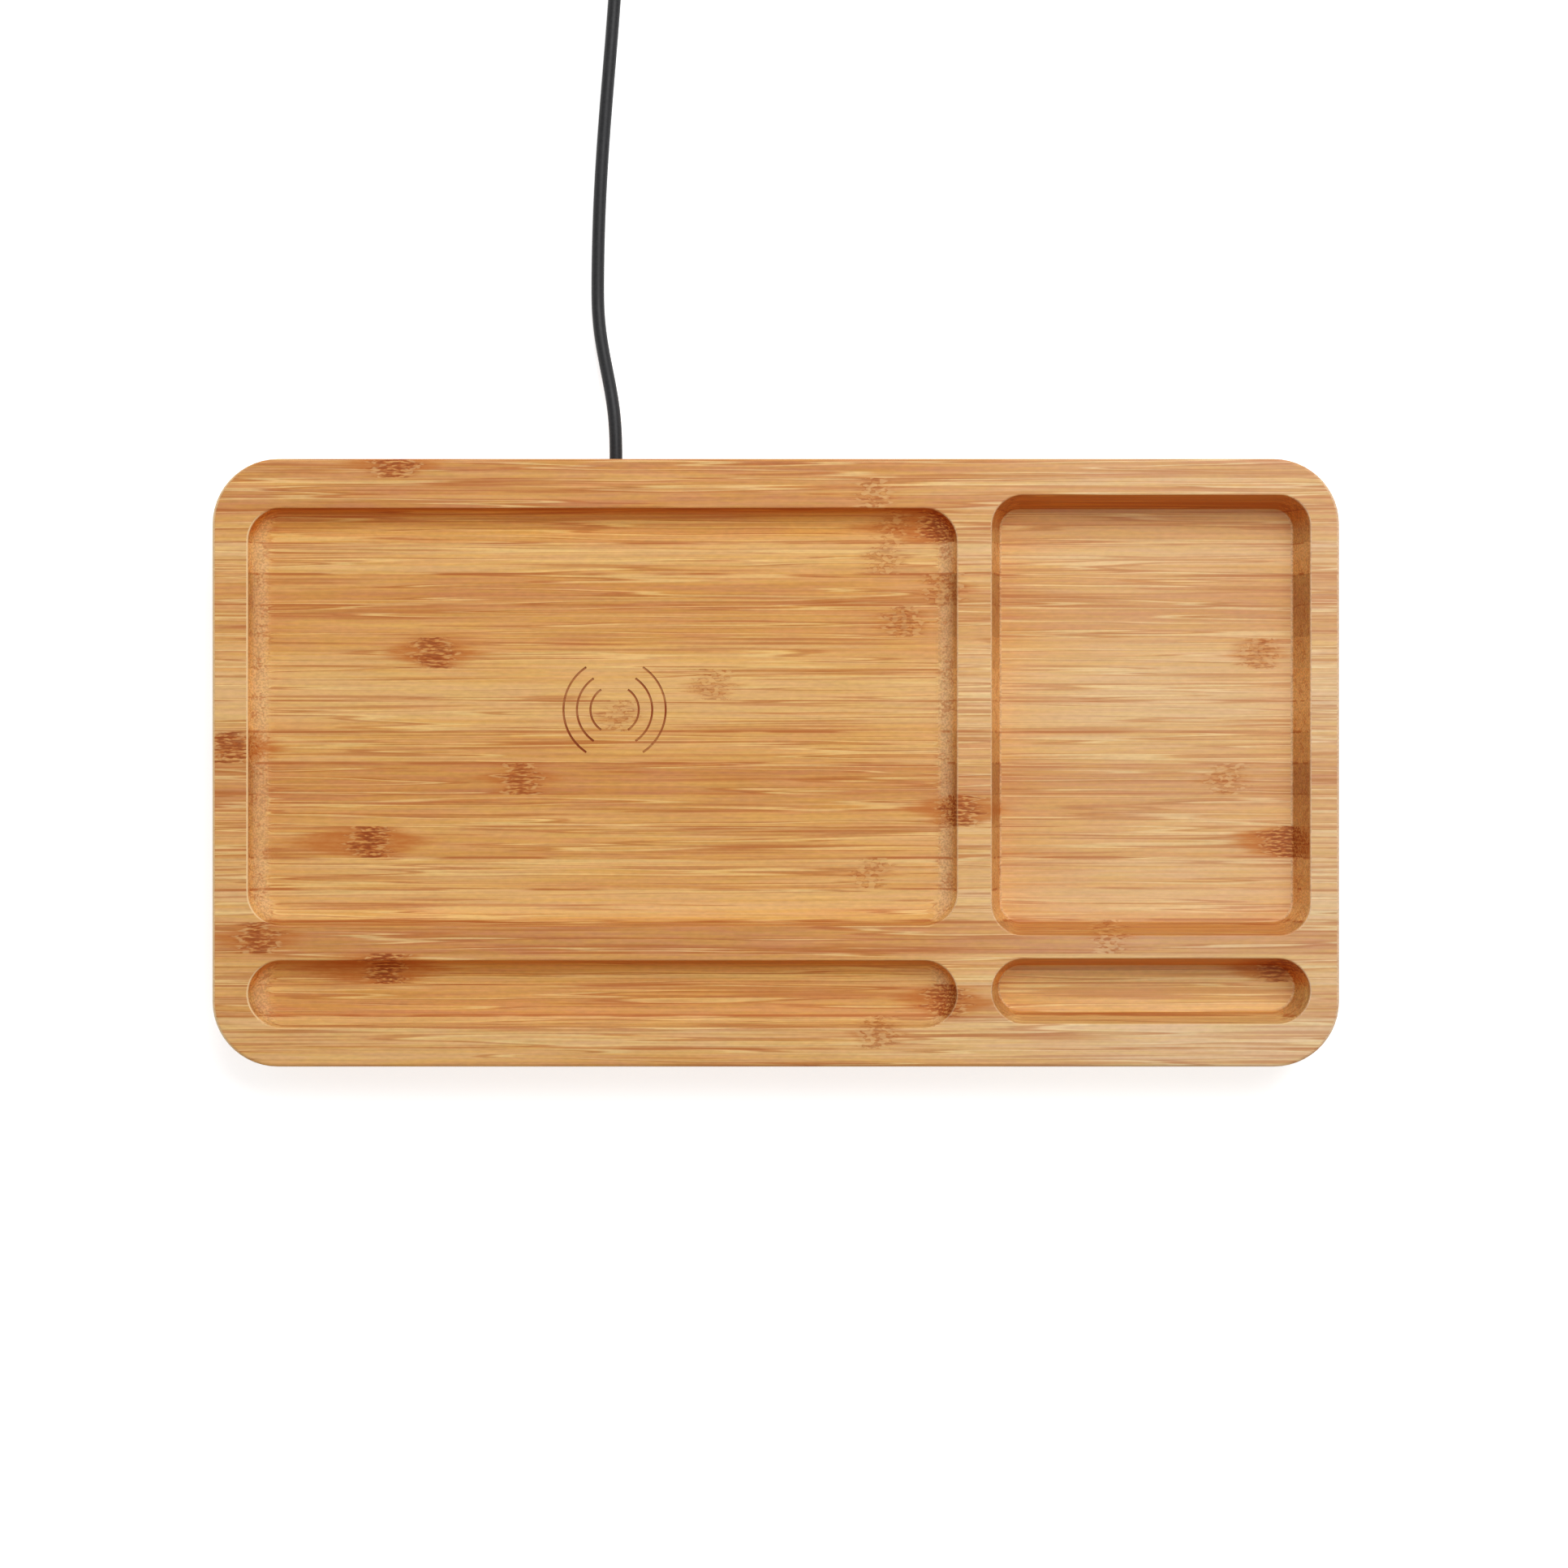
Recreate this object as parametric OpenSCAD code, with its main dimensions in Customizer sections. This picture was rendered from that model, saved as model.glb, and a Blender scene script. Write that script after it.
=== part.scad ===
// Bamboo desk tray with a wireless charger under its phone pocket.
// Millimetres, +X along the tray, +Y to the rear where the lead leaves, +Z up.
// The origin lies under the middle of the tray, on the surface it stands on.

/* [Tray] */
// Length of the bamboo board
tray_l = 241; // [232:1:270]
// Width of the bamboo board, front to rear
tray_w = 130; // [126:1:150]
// Thickness of the bamboo board
tray_t = 18; // [17:0.5:22]
// Radius of the outer corners
tray_corner_r = 14; // [10:1:18]
// Radius of the eased outer edges
edge_r = 0.8; // [0.4:0.1:1.5]
// Radius of the eased rim of every pocket
rim_r = 0.4; // [0.2:0.1:0.8]
// Wall left of the phone pocket and the pen groove
left_wall = 7.6; // [5:0.1:10]
// Wall right of the storage pocket and the small slot
right_wall = 6.3; // [5:0.1:10]
// Wall between the left and the right pockets
middle_wall = 7.5; // [5:0.1:10]

/* [Phone pocket] */
// Depth of the phone pocket
phone_depth = 5; // [4:0.5:5.5]
// Radius of the cove round its floor
phone_cove_r = 5; // [3:0.5:5]
// Radius of its corners at the rim
phone_corner_r = 7; // [6:0.5:12]
// Wall behind the phone pocket
phone_rear_wall = 10.6; // [8:0.1:12]
// Wall between the phone pocket and the pen groove
pen_wall = 7.5; // [5:0.1:9]

/* [Pen groove] */
// Width of the pen groove
pen_w = 14.2; // [12:0.1:16]
// Depth of the pen groove, also the radius of its cove
pen_depth = 5; // [4:0.5:6]
// Wall in front of the pen groove
pen_front_wall = 8.5; // [6:0.1:12]

/* [Storage pocket] */
// Length of the storage pocket
store_l = 68; // [50:1:75]
// Depth of the storage pocket
store_depth = 10; // [8:0.5:12]
// How far its walls lean in from the rim to the floor
store_draft = 2.5; // [1:0.1:3.5]
// Radius of its corners at the rim
store_corner_r = 6.6; // [5:0.1:10]
// Wall behind the storage pocket
store_rear_wall = 7.8; // [6:0.1:12]
// Wall between the storage pocket and the small slot
slot_wall = 5.1; // [4:0.1:9]

/* [Small slot] */
// Width of the small slot
slot_w = 13.8; // [12:0.1:16]
// Depth of the small slot
slot_depth = 10; // [8:0.5:12]
// How far its walls lean in from the rim to the floor
slot_draft = 2.1; // [1:0.1:3]
// Wall in front of the small slot
slot_front_wall = 9.3; // [7:0.1:12]

/* [Charging mark] */
// Radius of the inner pair of arcs
mark_r = 5.2; // [4:0.1:7]
// Step from one pair of arcs to the next
mark_step = 2.9; // [2:0.1:4]
// Number of pairs of arcs
mark_pairs = 3; // [1:1:4]
// Width of the engraved line
mark_line = 0.45; // [0.3:0.05:0.8]
// Depth of the engraved line
mark_depth = 0.2; // [0.1:0.05:0.4]
// Half angle that each arc spans
mark_half_angle = 56; // [30:1:70]

/* [Charger] */
// Place of the transmitter coil and of the lead along the tray
coil_x = -34.7; // [-40:0.1:-30]
// Place of the transmitter coil front to rear
coil_y = 11.4; // [8:0.1:13]
// Bamboo left between the phone pocket and the charger
web_t = 3; // [2.5:0.1:3.5]
// Diameter of the coil's litz wire
litz_d = 1.05; // [0.9:0.05:1.1]
// Step from one turn of the coil to the next
litz_pitch = 1.5; // [1.5:0.05:1.6]
// Radius of the coil's innermost turn
litz_inner_r = 10.5; // [9:0.1:11]
// Thickness of the tape that holds the coil
tape_t = 0.2; // [0.1:0.05:0.4]
// Thickness of the ferrite shield
ferrite_t = 1.3; // [1.25:0.05:1.6]
// How far the ferrite reaches past the coil
ferrite_lip = 1.2; // [0.5:0.1:1.5]

/* [Circuit board] */
// Length of the circuit board along the tray
board_l = 36; // [34:1:37]
// Width of the circuit board
board_w = 53; // [50:1:55]
// Thickness of the circuit board
board_t = 1.2; // [1:0.1:1.6]
// Height of the board's posts
board_post_h = 2.3; // [1.8:0.1:2.6]
// Room between the board's sides and the cavity's wall
board_room = 3.9; // [3:0.1:4.5]
// Room between the board's end and the cavity's wall
board_end_room = 2.5; // [1.5:0.1:3]

/* [Underside] */
// Width of the ledge that the cover is screwed to
ledge_w = 7; // [6:0.5:8]
// Thickness of the cover
cover_t = 2; // [1.8:0.1:2.4]
// How deep the cover lies in the underside
cover_inset = 0.3; // [0.2:0.1:0.6]
// Gap round the cover
cover_gap = 0.25; // [0.15:0.05:0.5]
// Diameter of the cover screws
cover_screw_d = 2.4; // [2:0.1:2.8]
// Length of the cover screws
cover_screw_l = 8; // [6:0.5:9]
// Diameter of the feet
foot_d = 10; // [8:0.5:12]
// How far the feet stand proud
foot_proud = 1.2; // [0.8:0.1:2]
// How deep the feet are let in
foot_inset = 0.8; // [0.5:0.1:1.2]
// Place of the feet from the board's edges
foot_place = 15; // [13:0.5:17]

/* [Lead] */
// Diameter of the lead
lead_d = 2.8; // [2.6:0.1:3]
// Height of the lead's centre above the underside
lead_h = 6; // [5.5:0.1:6.4]
// Bend radius of the lead inside the charger
lead_bend_r = 6; // [5.8:0.1:6.4]
// Diameter of the grommet's sleeve
grommet_d = 5.6; // [5:0.1:6.2]
// Length of the grommet's sleeve
grommet_l = 8; // [6:0.5:10]
// Diameter of the grommet's flange
flange_d = 7.6; // [7:0.1:8.2]
// How far the flange stands proud of the rear edge
flange_t = 0.6; // [0.4:0.1:0.7]
// Step from one loop of the stored lead to the next
stored_pitch = 3.4; // [3.3:0.1:3.8]
// Radius of the innermost stored loop
stored_inner_r = 9.6; // [9:0.1:10]
// Thickness of the tie round the stored lead
tie_t = 0.5; // [0.4:0.1:0.5]
// Width of the tie
tie_w = 6; // [4:0.5:8]

/* [Plug] */
// Length of the plug's grip
grip_l = 24; // [20:1:30]
// Width of the plug's grip
grip_w = 15.6; // [14:0.1:17]
// Thickness of the plug's grip
grip_t = 7.6; // [7:0.1:8]
// Length of the ribbed taper behind the grip
taper_l = 14; // [10:1:16]
// Length of the metal shell
shell_l = 12; // [11:0.1:13]
// Width of the metal shell
shell_w = 12; // [11.5:0.1:12.5]
// Thickness of the metal shell
shell_t = 4.5; // [4.2:0.1:4.8]
// Wall of the metal shell
shell_wall = 0.35; // [0.3:0.05:0.5]

/* [Hidden] */
$fn = 48;

// One overrun for all cuts, and one running clearance
over = 1;
slack = 0.15;

// Heights
base_z = foot_proud;
top_z = base_z + tray_t;
phone_floor_z = top_z - phone_depth;
ceiling_z = phone_floor_z - web_t;
cover_z = base_z + cover_inset;
cover_top_z = cover_z + cover_t;
lead_z = base_z + lead_h;

// Pockets: what the walls leave of the board
phone_l = tray_l - left_wall - middle_wall - store_l - right_wall;
phone_w = tray_w - phone_rear_wall - pen_wall - pen_w - pen_front_wall;
phone_x = -tray_l / 2 + left_wall + phone_l / 2;
phone_y = tray_w / 2 - phone_rear_wall - phone_w / 2;
pen_y = -tray_w / 2 + pen_front_wall + pen_w / 2;
store_w = tray_w - store_rear_wall - slot_wall - slot_w - slot_front_wall;
store_x = tray_l / 2 - right_wall - store_l / 2;
store_y = tray_w / 2 - store_rear_wall - store_w / 2;
slot_y = -tray_w / 2 + slot_front_wall + slot_w / 2;
store_fillet_r = 0.8;

// Coil stack, out from the coil's middle
litz_turns = 8.125;
litz_outer_r = litz_inner_r + litz_pitch * litz_turns;
ferrite_r = litz_outer_r + litz_d / 2 + ferrite_lip;

// The lead's lane behind the coil, and its clamp
lane_gap = 4.2;
lane_y = coil_y + ferrite_r + lane_gap;
clamp_l = 6;
clamp_w = 11;
clamp_t = 2.6;
clamp_room = 1.5;
clamp_place = 15.5;
clamp_x = coil_x + clamp_place;

// Cavity, as large as the coil, the lane and the board need
coil_room = 4.6;
board_gap = 28.5;
board_x = coil_x + board_gap + board_l / 2;
board_y = coil_y;
cavity_left = coil_x - ferrite_r - coil_room;
cavity_right = board_x + board_l / 2 + board_end_room;
cavity_front = board_y - board_w / 2 - board_room;
cavity_rear = lane_y + clamp_w / 2 + clamp_room;
cavity_l = cavity_right - cavity_left;
cavity_w = cavity_rear - cavity_front;
cavity_x = (cavity_left + cavity_right) / 2;
cavity_y = (cavity_front + cavity_rear) / 2;
cavity_corner_r = 6;
recess_l = cavity_l + 2 * ledge_w;
recess_w = cavity_w + 2 * ledge_w;
recess_corner_r = 8;
cover_l = recess_l - 2 * cover_gap;
cover_w = recess_w - 2 * cover_gap;
cover_corner_r = recess_corner_r - cover_gap;
screw_head_d = 2 * cover_screw_d;
screw_head_t = 0.6 * cover_screw_d;
cover_screw_places = [for (sx = [-1, 0, 1]) for (sy = [-1, 1])
    [cavity_x + sx * (recess_l - ledge_w) / 2, cavity_y + sy * (recess_w - ledge_w) / 2]];
driver_slot_w = 0.9;
driver_slot_t = 0.7;
vent_l = 16;
vent_w = 1.6;
vent_step = 4;
vent_count = 7;

// Coil stack, from the cavity's ceiling down
litz_rings = 24;
coil_z = ceiling_z - slack - litz_d / 2;
tail_share = 1.45;
tail_drop = tail_share * litz_d;
tail_slot_w = 2 * litz_d;
tape_z = coil_z - litz_d / 2 - tape_t;
ferrite_z = tape_z - ferrite_t;
pad_r = ferrite_r - ferrite_lip;
seat_h = 2.5;
seat_wall = 2;
seat_z = cover_top_z + seat_h;

// Circuit board and what stands on it
board_z = cover_top_z + board_post_h;
board_top_z = board_z + board_t;
board_corner_r = 1.5;
board_hole_inset = 3.2;
board_screw_d = 1.6;
board_hole_d = 2.2;
board_post_d = 5;
board_head_d = 3.6;
board_head_t = 1.3;
board_places = [for (sx = [-1, 1]) for (sy = [-1, 1])
    [board_x + sx * (board_l / 2 - board_hole_inset), board_y + sy * (board_w / 2 - board_hole_inset)]];
pad_d = 2.2;
pad_t = 0.05;
tail_pad_x = board_x - board_l / 2 + 1.5 * pad_d;
outer_tail_y = coil_y - litz_outer_r;
core_d = 1.1;
core_pad_x = board_x - board_l / 2 + 4 * pad_d;
core_pad_y = board_y + board_w / 2 - 1.5 * pad_d;
core_pad_step = 1.5 * pad_d;

// Lead inside the cavity
clamp_screw_d = 1.6;
clamp_edge = 1.8;
clamp_screw_place = clamp_w / 2 - clamp_edge;
clamp_split = 0.1;
jacket_end_x = clamp_x + clamp_l;
bore_d = lead_d + 2 * slack;
exit_y = tray_w / 2;

// Stored lead: two layers of loops that spiral in and out again
stored_rings = 24;
stored_turns_in = 4.25;
stored_turns = 8.25;
stored_gap = 0.5;
stored_layer = lead_d + stored_gap;
stored_z = lead_d / 2 + tie_t + slack / 2;
stored_outer_r = stored_inner_r + stored_pitch * stored_turns_in;
stored_x = -10;
stored_y = 200;
stored_start = [stored_x - stored_outer_r, stored_y, stored_z];
stored_end_r = stored_inner_r + stored_pitch * (stored_turns - stored_turns_in);
stored_end = [stored_x, stored_y + stored_end_r, stored_z + stored_layer];
tie_turn_share = 1 / 6;
tie_outer_r = stored_inner_r + stored_pitch * (stored_turns_in - tie_turn_share) + lead_d / 2 + slack;
tie_inner_r = stored_inner_r - lead_d / 2 - tie_w * tie_w / (8 * stored_inner_r) - slack;

// Plug, lying on the surface beside the stored loops
plug_z = grip_t / 2;
tail_l = 24;
plug_x = stored_x + tail_l;
plug_y = stored_end[1];
grip_r = 2.6;
grip_inset = 0.4;
taper_ribs = 4;
taper_wall = 0.8;
taper_end_d = lead_d + 2 * taper_wall;
taper_root_d = grip_t - over;
tongue_t = 1.9;
contact_w_share = [0.09, 0.07, 0.07, 0.09];
contact_place_share = [-0.35, -0.12, 0.12, 0.35];
contact_t = 0.2;
contact_l = 8;

function unit(v) = v / norm(v);
function last(p) = len(p) - 1;
function tangent(p, i) = unit(p[min(i + 1, last(p))] - p[max(i - 1, 0)]);
function across(n, t) = unit(n - t * (n * t));
// Normals carried along a path without twist
function normals(p, first) =
    [for (i = 0, n = across(first, tangent(p, 0)); i <= last(p);
          i = i + 1, n = across(n, tangent(p, min(i, last(p))))) n];
function path_length(p) = total([for (i = [1 : last(p)]) norm(p[i] - p[i - 1])]);
function total(v, i = 0) = i == len(v) ? 0 : v[i] + total(v, i + 1);
function curve(a, b, c, d, steps) =
    [for (i = [0 : steps]) let (t = i / steps, s = 1 - t)
     s * s * s * a + 3 * s * s * t * b + 3 * s * t * t * c + t * t * t * d];
// A bend from a to b that leaves and arrives along the same axis, without its first point
function ease(a, b, axis, steps) =
    let (pull = axis * abs((b - a) * axis) * ease_share, p = curve(a, a + pull, b - pull, b, steps))
    [for (i = [1 : steps]) p[i]];
function on_circle(centre, r, angle) = centre + r * [cos(angle), sin(angle), 0];
// Least gap of a round tube to itself, measured on points half a turn or more apart
function least_gap(p, d, half_turn) =
    min([for (i = [0 : last(p) - half_turn]) for (j = [i + half_turn : last(p)]) norm(p[i] - p[j])]) - d;

// Stored loops: the angle runs clockwise from the left, the radius reverses at a steady rate
function stored_point(u) =
    let (climb = (u - stored_turns_in) * 2 + 0.5)
    on_circle([stored_x, stored_y, stored_z + stored_layer * max(0, min(1, climb))],
              stored_inner_r + stored_pitch * abs(u - stored_turns_in), 180 - 360 * u);
stored_points = [for (i = [0 : stored_rings * stored_turns]) stored_point(i / stored_rings)];

// The free lead: straight out of the grommet, down to the surface, and back to the loops
ease_share = 0.4;
lead_straight_l = 3.5;
lead_fall_l = 34;
lead_sway = 4.3;
lead_rest_gap = 0.05;
lead_exit = [coil_x, exit_y, lead_z];
lead_fall = lead_exit + [0, lead_straight_l, 0];
lead_rest = [coil_x - lead_sway, lead_fall[1] + lead_fall_l, lead_d / 2 + lead_rest_gap];
lead_points = concat([lead_exit, lead_fall], ease(lead_fall, lead_rest, [0, 1, 0], 9),
                     ease(lead_rest, stored_start, [0, 1, 0], 12));
// From the loops to the plug
tail_points = concat([stored_end], ease(stored_end, [plug_x, plug_y, plug_z], [1, 0, 0], 6));

// Transmitter coil: board pad, inner tail under the turns, spiral out, outer tail, board pad
coil_centre = [coil_x, coil_y, coil_z];
core_turn_r = litz_inner_r * (sqrt(2) - 1);
pad_z = board_top_z + pad_t;
tail_z = coil_z - tail_drop;
tail_bend = 1.5 * litz_d;
inner_tail = concat(
    [[tail_pad_x, coil_y, pad_z], [tail_pad_x, coil_y, pad_z + litz_d / 2]],
    curve([tail_pad_x, coil_y, tail_z - tail_bend / 2], [tail_pad_x, coil_y, tail_z],
          [tail_pad_x, coil_y, tail_z], [tail_pad_x - tail_bend, coil_y, tail_z], 4),
    [[coil_x + ferrite_r, coil_y, tail_z]],
    curve([coil_x + litz_inner_r * 0.62, coil_y, tail_z], [coil_x + litz_inner_r / 4, coil_y, tail_z],
          [coil_x, coil_y, coil_z], [coil_x - core_turn_r, coil_y, coil_z], 6));
core_turn = [for (a = [105 : 15 : 210])
    on_circle(coil_centre - core_turn_r * [1, 1, 0], core_turn_r, a)];
spiral = [for (i = [0 : litz_rings * litz_turns]) let (u = i / litz_rings)
    on_circle(coil_centre, litz_inner_r + litz_pitch * u, 225 + 360 * u)];
outer_tail = concat(
    [[coil_x + ferrite_r / 2, outer_tail_y, coil_z]],
    curve([coil_x + ferrite_r * 0.8, outer_tail_y, coil_z],
          [tail_pad_x - 3 * tail_bend, outer_tail_y, coil_z],
          [tail_pad_x, outer_tail_y, coil_z], [tail_pad_x, outer_tail_y, pad_z + litz_d], 6),
    [[tail_pad_x, outer_tail_y, pad_z]]);
litz_points = concat(inner_tail, core_turn, spiral, outer_tail);

echo(stored_least_gap = least_gap(stored_points, lead_d, stored_rings / 2));
echo(litz_least_gap = least_gap(spiral, litz_d, litz_rings / 2), under_turns = tail_drop - litz_d);
echo(lead_length = path_length(lead_points) + path_length(stored_points) + path_length(tail_points));

// A round tube swept along points, closed at both ends
module tube(p, r, sides, first) {
    n = normals(p, first);
    points = [for (i = [0 : last(p)]) let (b = cross(tangent(p, i), n[i]))
        for (k = [0 : sides - 1]) let (a = 360 * k / sides) p[i] + r * (cos(a) * n[i] + sin(a) * b)];
    walls = [for (i = [0 : last(p) - 1]) for (k = [0 : sides - 1])
        let (a = i * sides + k, b = i * sides + (k + 1) % sides)
        for (f = [[a, a + sides, b], [b, a + sides, b + sides]]) f];
    end = last(p) * sides;
    caps = [for (k = [1 : sides - 2]) for (f = [[0, k, k + 1], [end, end + k + 1, end + k]]) f];
    polyhedron(points, concat(walls, caps));
}

module at(p, z) {
    translate([p[0], p[1], z]) children();
}

// A block with rounded upright corners
module round_block(l, w, h, r) {
    for (sx = [-1, 1]) for (sy = [-1, 1])
        translate([sx * (l / 2 - r), sy * (w / 2 - r), 0]) cylinder(h = h, r = r);
    translate([-l / 2 + r, -w / 2, 0]) cube([l - 2 * r, w, h]);
    translate([-l / 2, -w / 2 + r, 0]) cube([l, w - 2 * r, h]);
}

// A slot with round ends, along Y
module slot(l, w, h) {
    for (s = [-1, 1]) translate([0, s * (l - w) / 2, 0]) cylinder(h = h, d = w);
    translate([-w / 2, -(l - w) / 2, 0]) cube([w, l - w, h]);
}

// A solid whose edge follows a profile all round. The profile's x counts outwards from the rim.
module profiled_block(l, w, r, profile) {
    corner = [for (p = profile) [max(0, r + p[0]), p[1]]];
    for (sx = [-1, 1]) for (sy = [-1, 1])
        translate([sx * (l / 2 - r), sy * (w / 2 - r), 0])
            rotate_extrude() polygon(concat([[0, profile[0][1]]], corner, [[0, profile[last(profile)][1]]]));
    profiled_bar(l - 2 * r, w / 2, profile);
    if (w > 2 * r) rotate([0, 0, 90]) profiled_bar(w - 2 * r, l / 2, profile);
}

module profiled_bar(length, half, profile) {
    right = [for (p = profile) [half + p[0], p[1]]];
    left = [for (i = [last(profile) : -1 : 0]) [-half - profile[i][0], profile[i][1]]];
    rotate([90, 0, 90]) translate([0, 0, -length / 2])
        linear_extrude(length) polygon(concat(right, left));
}

arc_steps = 6;
// Outer profile of the board: eased at the bottom and at the top
board_profile = concat(
    [for (i = [0 : arc_steps]) let (a = -90 + 90 * i / arc_steps)
        [-edge_r + edge_r * cos(a), base_z + edge_r + edge_r * sin(a)]],
    [for (i = [0 : arc_steps]) let (a = 90 * i / arc_steps)
        [-edge_r + edge_r * cos(a), top_z - edge_r + edge_r * sin(a)]]);

// The rim of a pocket, flaring out of its wall
rim_profile = concat(
    [for (i = [0 : arc_steps]) let (a = 180 - 90 * i / arc_steps)
        [rim_r + rim_r * cos(a), top_z - rim_r + rim_r * sin(a)]],
    [[rim_r, top_z + over]]);

// A pocket with a cove of radius r between its floor and its wall
function cove_profile(depth, r) = let (stop = asin(min(0, depth - r - rim_r) / r)) concat(
    [for (i = [0 : 2 * arc_steps]) let (a = -90 + (90 + stop) * i / (2 * arc_steps))
        [-r + r * cos(a), top_z - depth + r + r * sin(a)]],
    rim_profile);

// A pocket with leaning walls and a small fillet at its floor
function drafted_profile(depth, draft) = concat(
    [for (i = [0 : arc_steps]) let (a = -90 + 75 * i / arc_steps)
        [-draft - store_fillet_r / 2 + store_fillet_r * cos(a),
         top_z - depth + store_fillet_r + store_fillet_r * sin(a)]],
    rim_profile);

module bamboo_tray() {
    color("burlywood") difference() {
        profiled_block(tray_l, tray_w, tray_corner_r, board_profile);
        translate([phone_x, phone_y, 0])
            profiled_block(phone_l, phone_w, phone_corner_r, cove_profile(phone_depth, phone_cove_r));
        translate([phone_x, pen_y, 0])
            profiled_block(phone_l, pen_w, pen_w / 2, cove_profile(pen_depth, pen_depth));
        translate([store_x, store_y, 0])
            profiled_block(store_l, store_w, store_corner_r, drafted_profile(store_depth, store_draft));
        translate([store_x, slot_y, 0])
            profiled_block(store_l, slot_w, slot_w / 2, drafted_profile(slot_depth, slot_draft));
        charging_mark();
        translate([cavity_x, cavity_y, base_z])
            round_block(cavity_l, cavity_w, ceiling_z - base_z, cavity_corner_r);
        translate([cavity_x, cavity_y, base_z - over])
            round_block(recess_l, recess_w, cover_top_z - base_z + over, recess_corner_r);
        for (p = cover_screw_places) at(p, cover_z)
            cylinder(h = cover_screw_l, d = cover_screw_d);
        translate([coil_x, tray_w / 2 - grommet_l, lead_z]) rotate([-90, 0, 0])
            cylinder(h = grommet_l + over, d = grommet_d);
        translate([coil_x, cavity_rear - over, lead_z]) rotate([-90, 0, 0])
            cylinder(h = tray_w / 2 - cavity_rear + over, d = bore_d);
        for (p = foot_places) at(p, base_z - over)
            cylinder(h = foot_inset + over, d = foot_d + 2 * slack);
    }
}

// Three pairs of thin arcs on the floor of the phone pocket
module charging_mark() {
    for (i = [0 : mark_pairs - 1]) for (side = [0, 180])
        at([coil_x, coil_y], phone_floor_z - mark_depth)
            rotate([0, 0, side - mark_half_angle]) rotate_extrude(angle = 2 * mark_half_angle)
                translate([mark_r + i * mark_step - mark_line / 2, 0])
                    square([mark_line, mark_depth + over]);
}

module bottom_cover() {
    color("#26262a") difference() {
        union() {
            translate([cavity_x, cavity_y, cover_z])
                round_block(cover_l, cover_w, cover_t, cover_corner_r);
            at([coil_x, coil_y], cover_z) cylinder(h = cover_t + seat_h, r = pad_r);
            for (p = board_places) at(p, cover_z)
                cylinder(h = cover_t + board_post_h, d = board_post_d);
            translate([clamp_x - clamp_l / 2, lane_y - clamp_w / 2, cover_z])
                cube([clamp_l, clamp_w, lead_z - clamp_split - cover_z]);
        }
        at([coil_x, coil_y], cover_top_z) cylinder(h = seat_h + over, r = pad_r - seat_wall);
        for (p = cover_screw_places) at(p, cover_z) {
            cylinder(h = cover_t + over, d = cover_screw_d + 2 * slack);
            cylinder(h = screw_head_t, d1 = screw_head_d, d2 = cover_screw_d);
            translate([0, 0, -over]) cylinder(h = over, d = screw_head_d);
        }
        for (p = board_places) at(p, cover_top_z)
            cylinder(h = board_post_h + over, d = board_screw_d);
        for (s = [-1, 1]) at([clamp_x, lane_y + s * clamp_screw_place], cover_top_z)
            cylinder(h = lead_z, d = clamp_screw_d);
        translate([clamp_x - clamp_l, lane_y, lead_z]) rotate([0, 90, 0])
            cylinder(h = 2 * clamp_l, d = lead_d);
        for (i = [0 : vent_count - 1])
            translate([board_x + (i - (vent_count - 1) / 2) * vent_step, board_y, cover_z - over])
                slot(vent_l, vent_w, cover_t + 2 * over);
    }
}

module cover_screws() {
    color("silver") for (p = cover_screw_places) at(p, cover_z) difference() {
        union() {
            cylinder(h = screw_head_t, d1 = screw_head_d, d2 = cover_screw_d);
            cylinder(h = cover_screw_l, d = cover_screw_d);
        }
        cross_slot(screw_head_d / 2);
    }
}

// Cross recess of a screw, cut up from z = 0
module cross_slot(l) {
    for (turn = [0, 90]) rotate([0, 0, turn])
        translate([-l / 2, -driver_slot_w / 2, -over]) cube([l, driver_slot_w, driver_slot_t + over]);
}

foot_places = [for (sy = [-1, 1]) for (sx = [-1, 1])
    [sx * (tray_l / 2 - foot_place), sy * (tray_w / 2 - foot_place)]];

// A silicone foot, domed at its lower edge and let into the board
module foot(p) {
    color("#3a3a3d") at(p, 0) rotate_extrude() polygon(concat([[0, 0]],
        [for (i = [0 : arc_steps]) let (a = -90 + 90 * i / arc_steps)
            [foot_d / 2 - edge_r + edge_r * cos(a), edge_r + edge_r * sin(a)]],
        [[foot_d / 2, base_z + foot_inset], [0, base_z + foot_inset]]));
}

module transmitter_coil() {
    color("#b5692e") tube(litz_points, litz_d / 2, 6, [1, 0, 0]);
}

// A round layer of the coil stack, slotted for the coil's inner tail
module slotted_disc(z, h, r) {
    difference() {
        at([coil_x, coil_y], z) cylinder(h = h, r = r);
        translate([coil_x - core_turn_r - litz_d, coil_y - tail_slot_w / 2, z - over])
            cube([2 * r, tail_slot_w, h + 2 * over]);
    }
}

module coil_tape() {
    color("#d9d2b8") slotted_disc(tape_z, tape_t, pad_r);
}

module ferrite_shield() {
    color("#3c3f42") slotted_disc(ferrite_z, ferrite_t, ferrite_r);
}

module foam_pad() {
    color("#55565a") at([coil_x, coil_y], seat_z) difference() {
        cylinder(h = ferrite_z - seat_z, r = pad_r);
        translate([0, 0, -over]) cylinder(h = ferrite_z - seat_z + 2 * over, r = litz_inner_r);
    }
}

module circuit_board() {
    color("#1f6b3b") difference() {
        translate([board_x, board_y, board_z]) round_block(board_l, board_w, board_t, board_corner_r);
        for (p = board_places) at(p, board_z - over)
            cylinder(h = board_t + 2 * over, d = board_hole_d);
    }
    color("#c9a24a") for (p = solder_places) at(p, board_top_z) cylinder(h = pad_t, d = pad_d);
}

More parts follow.
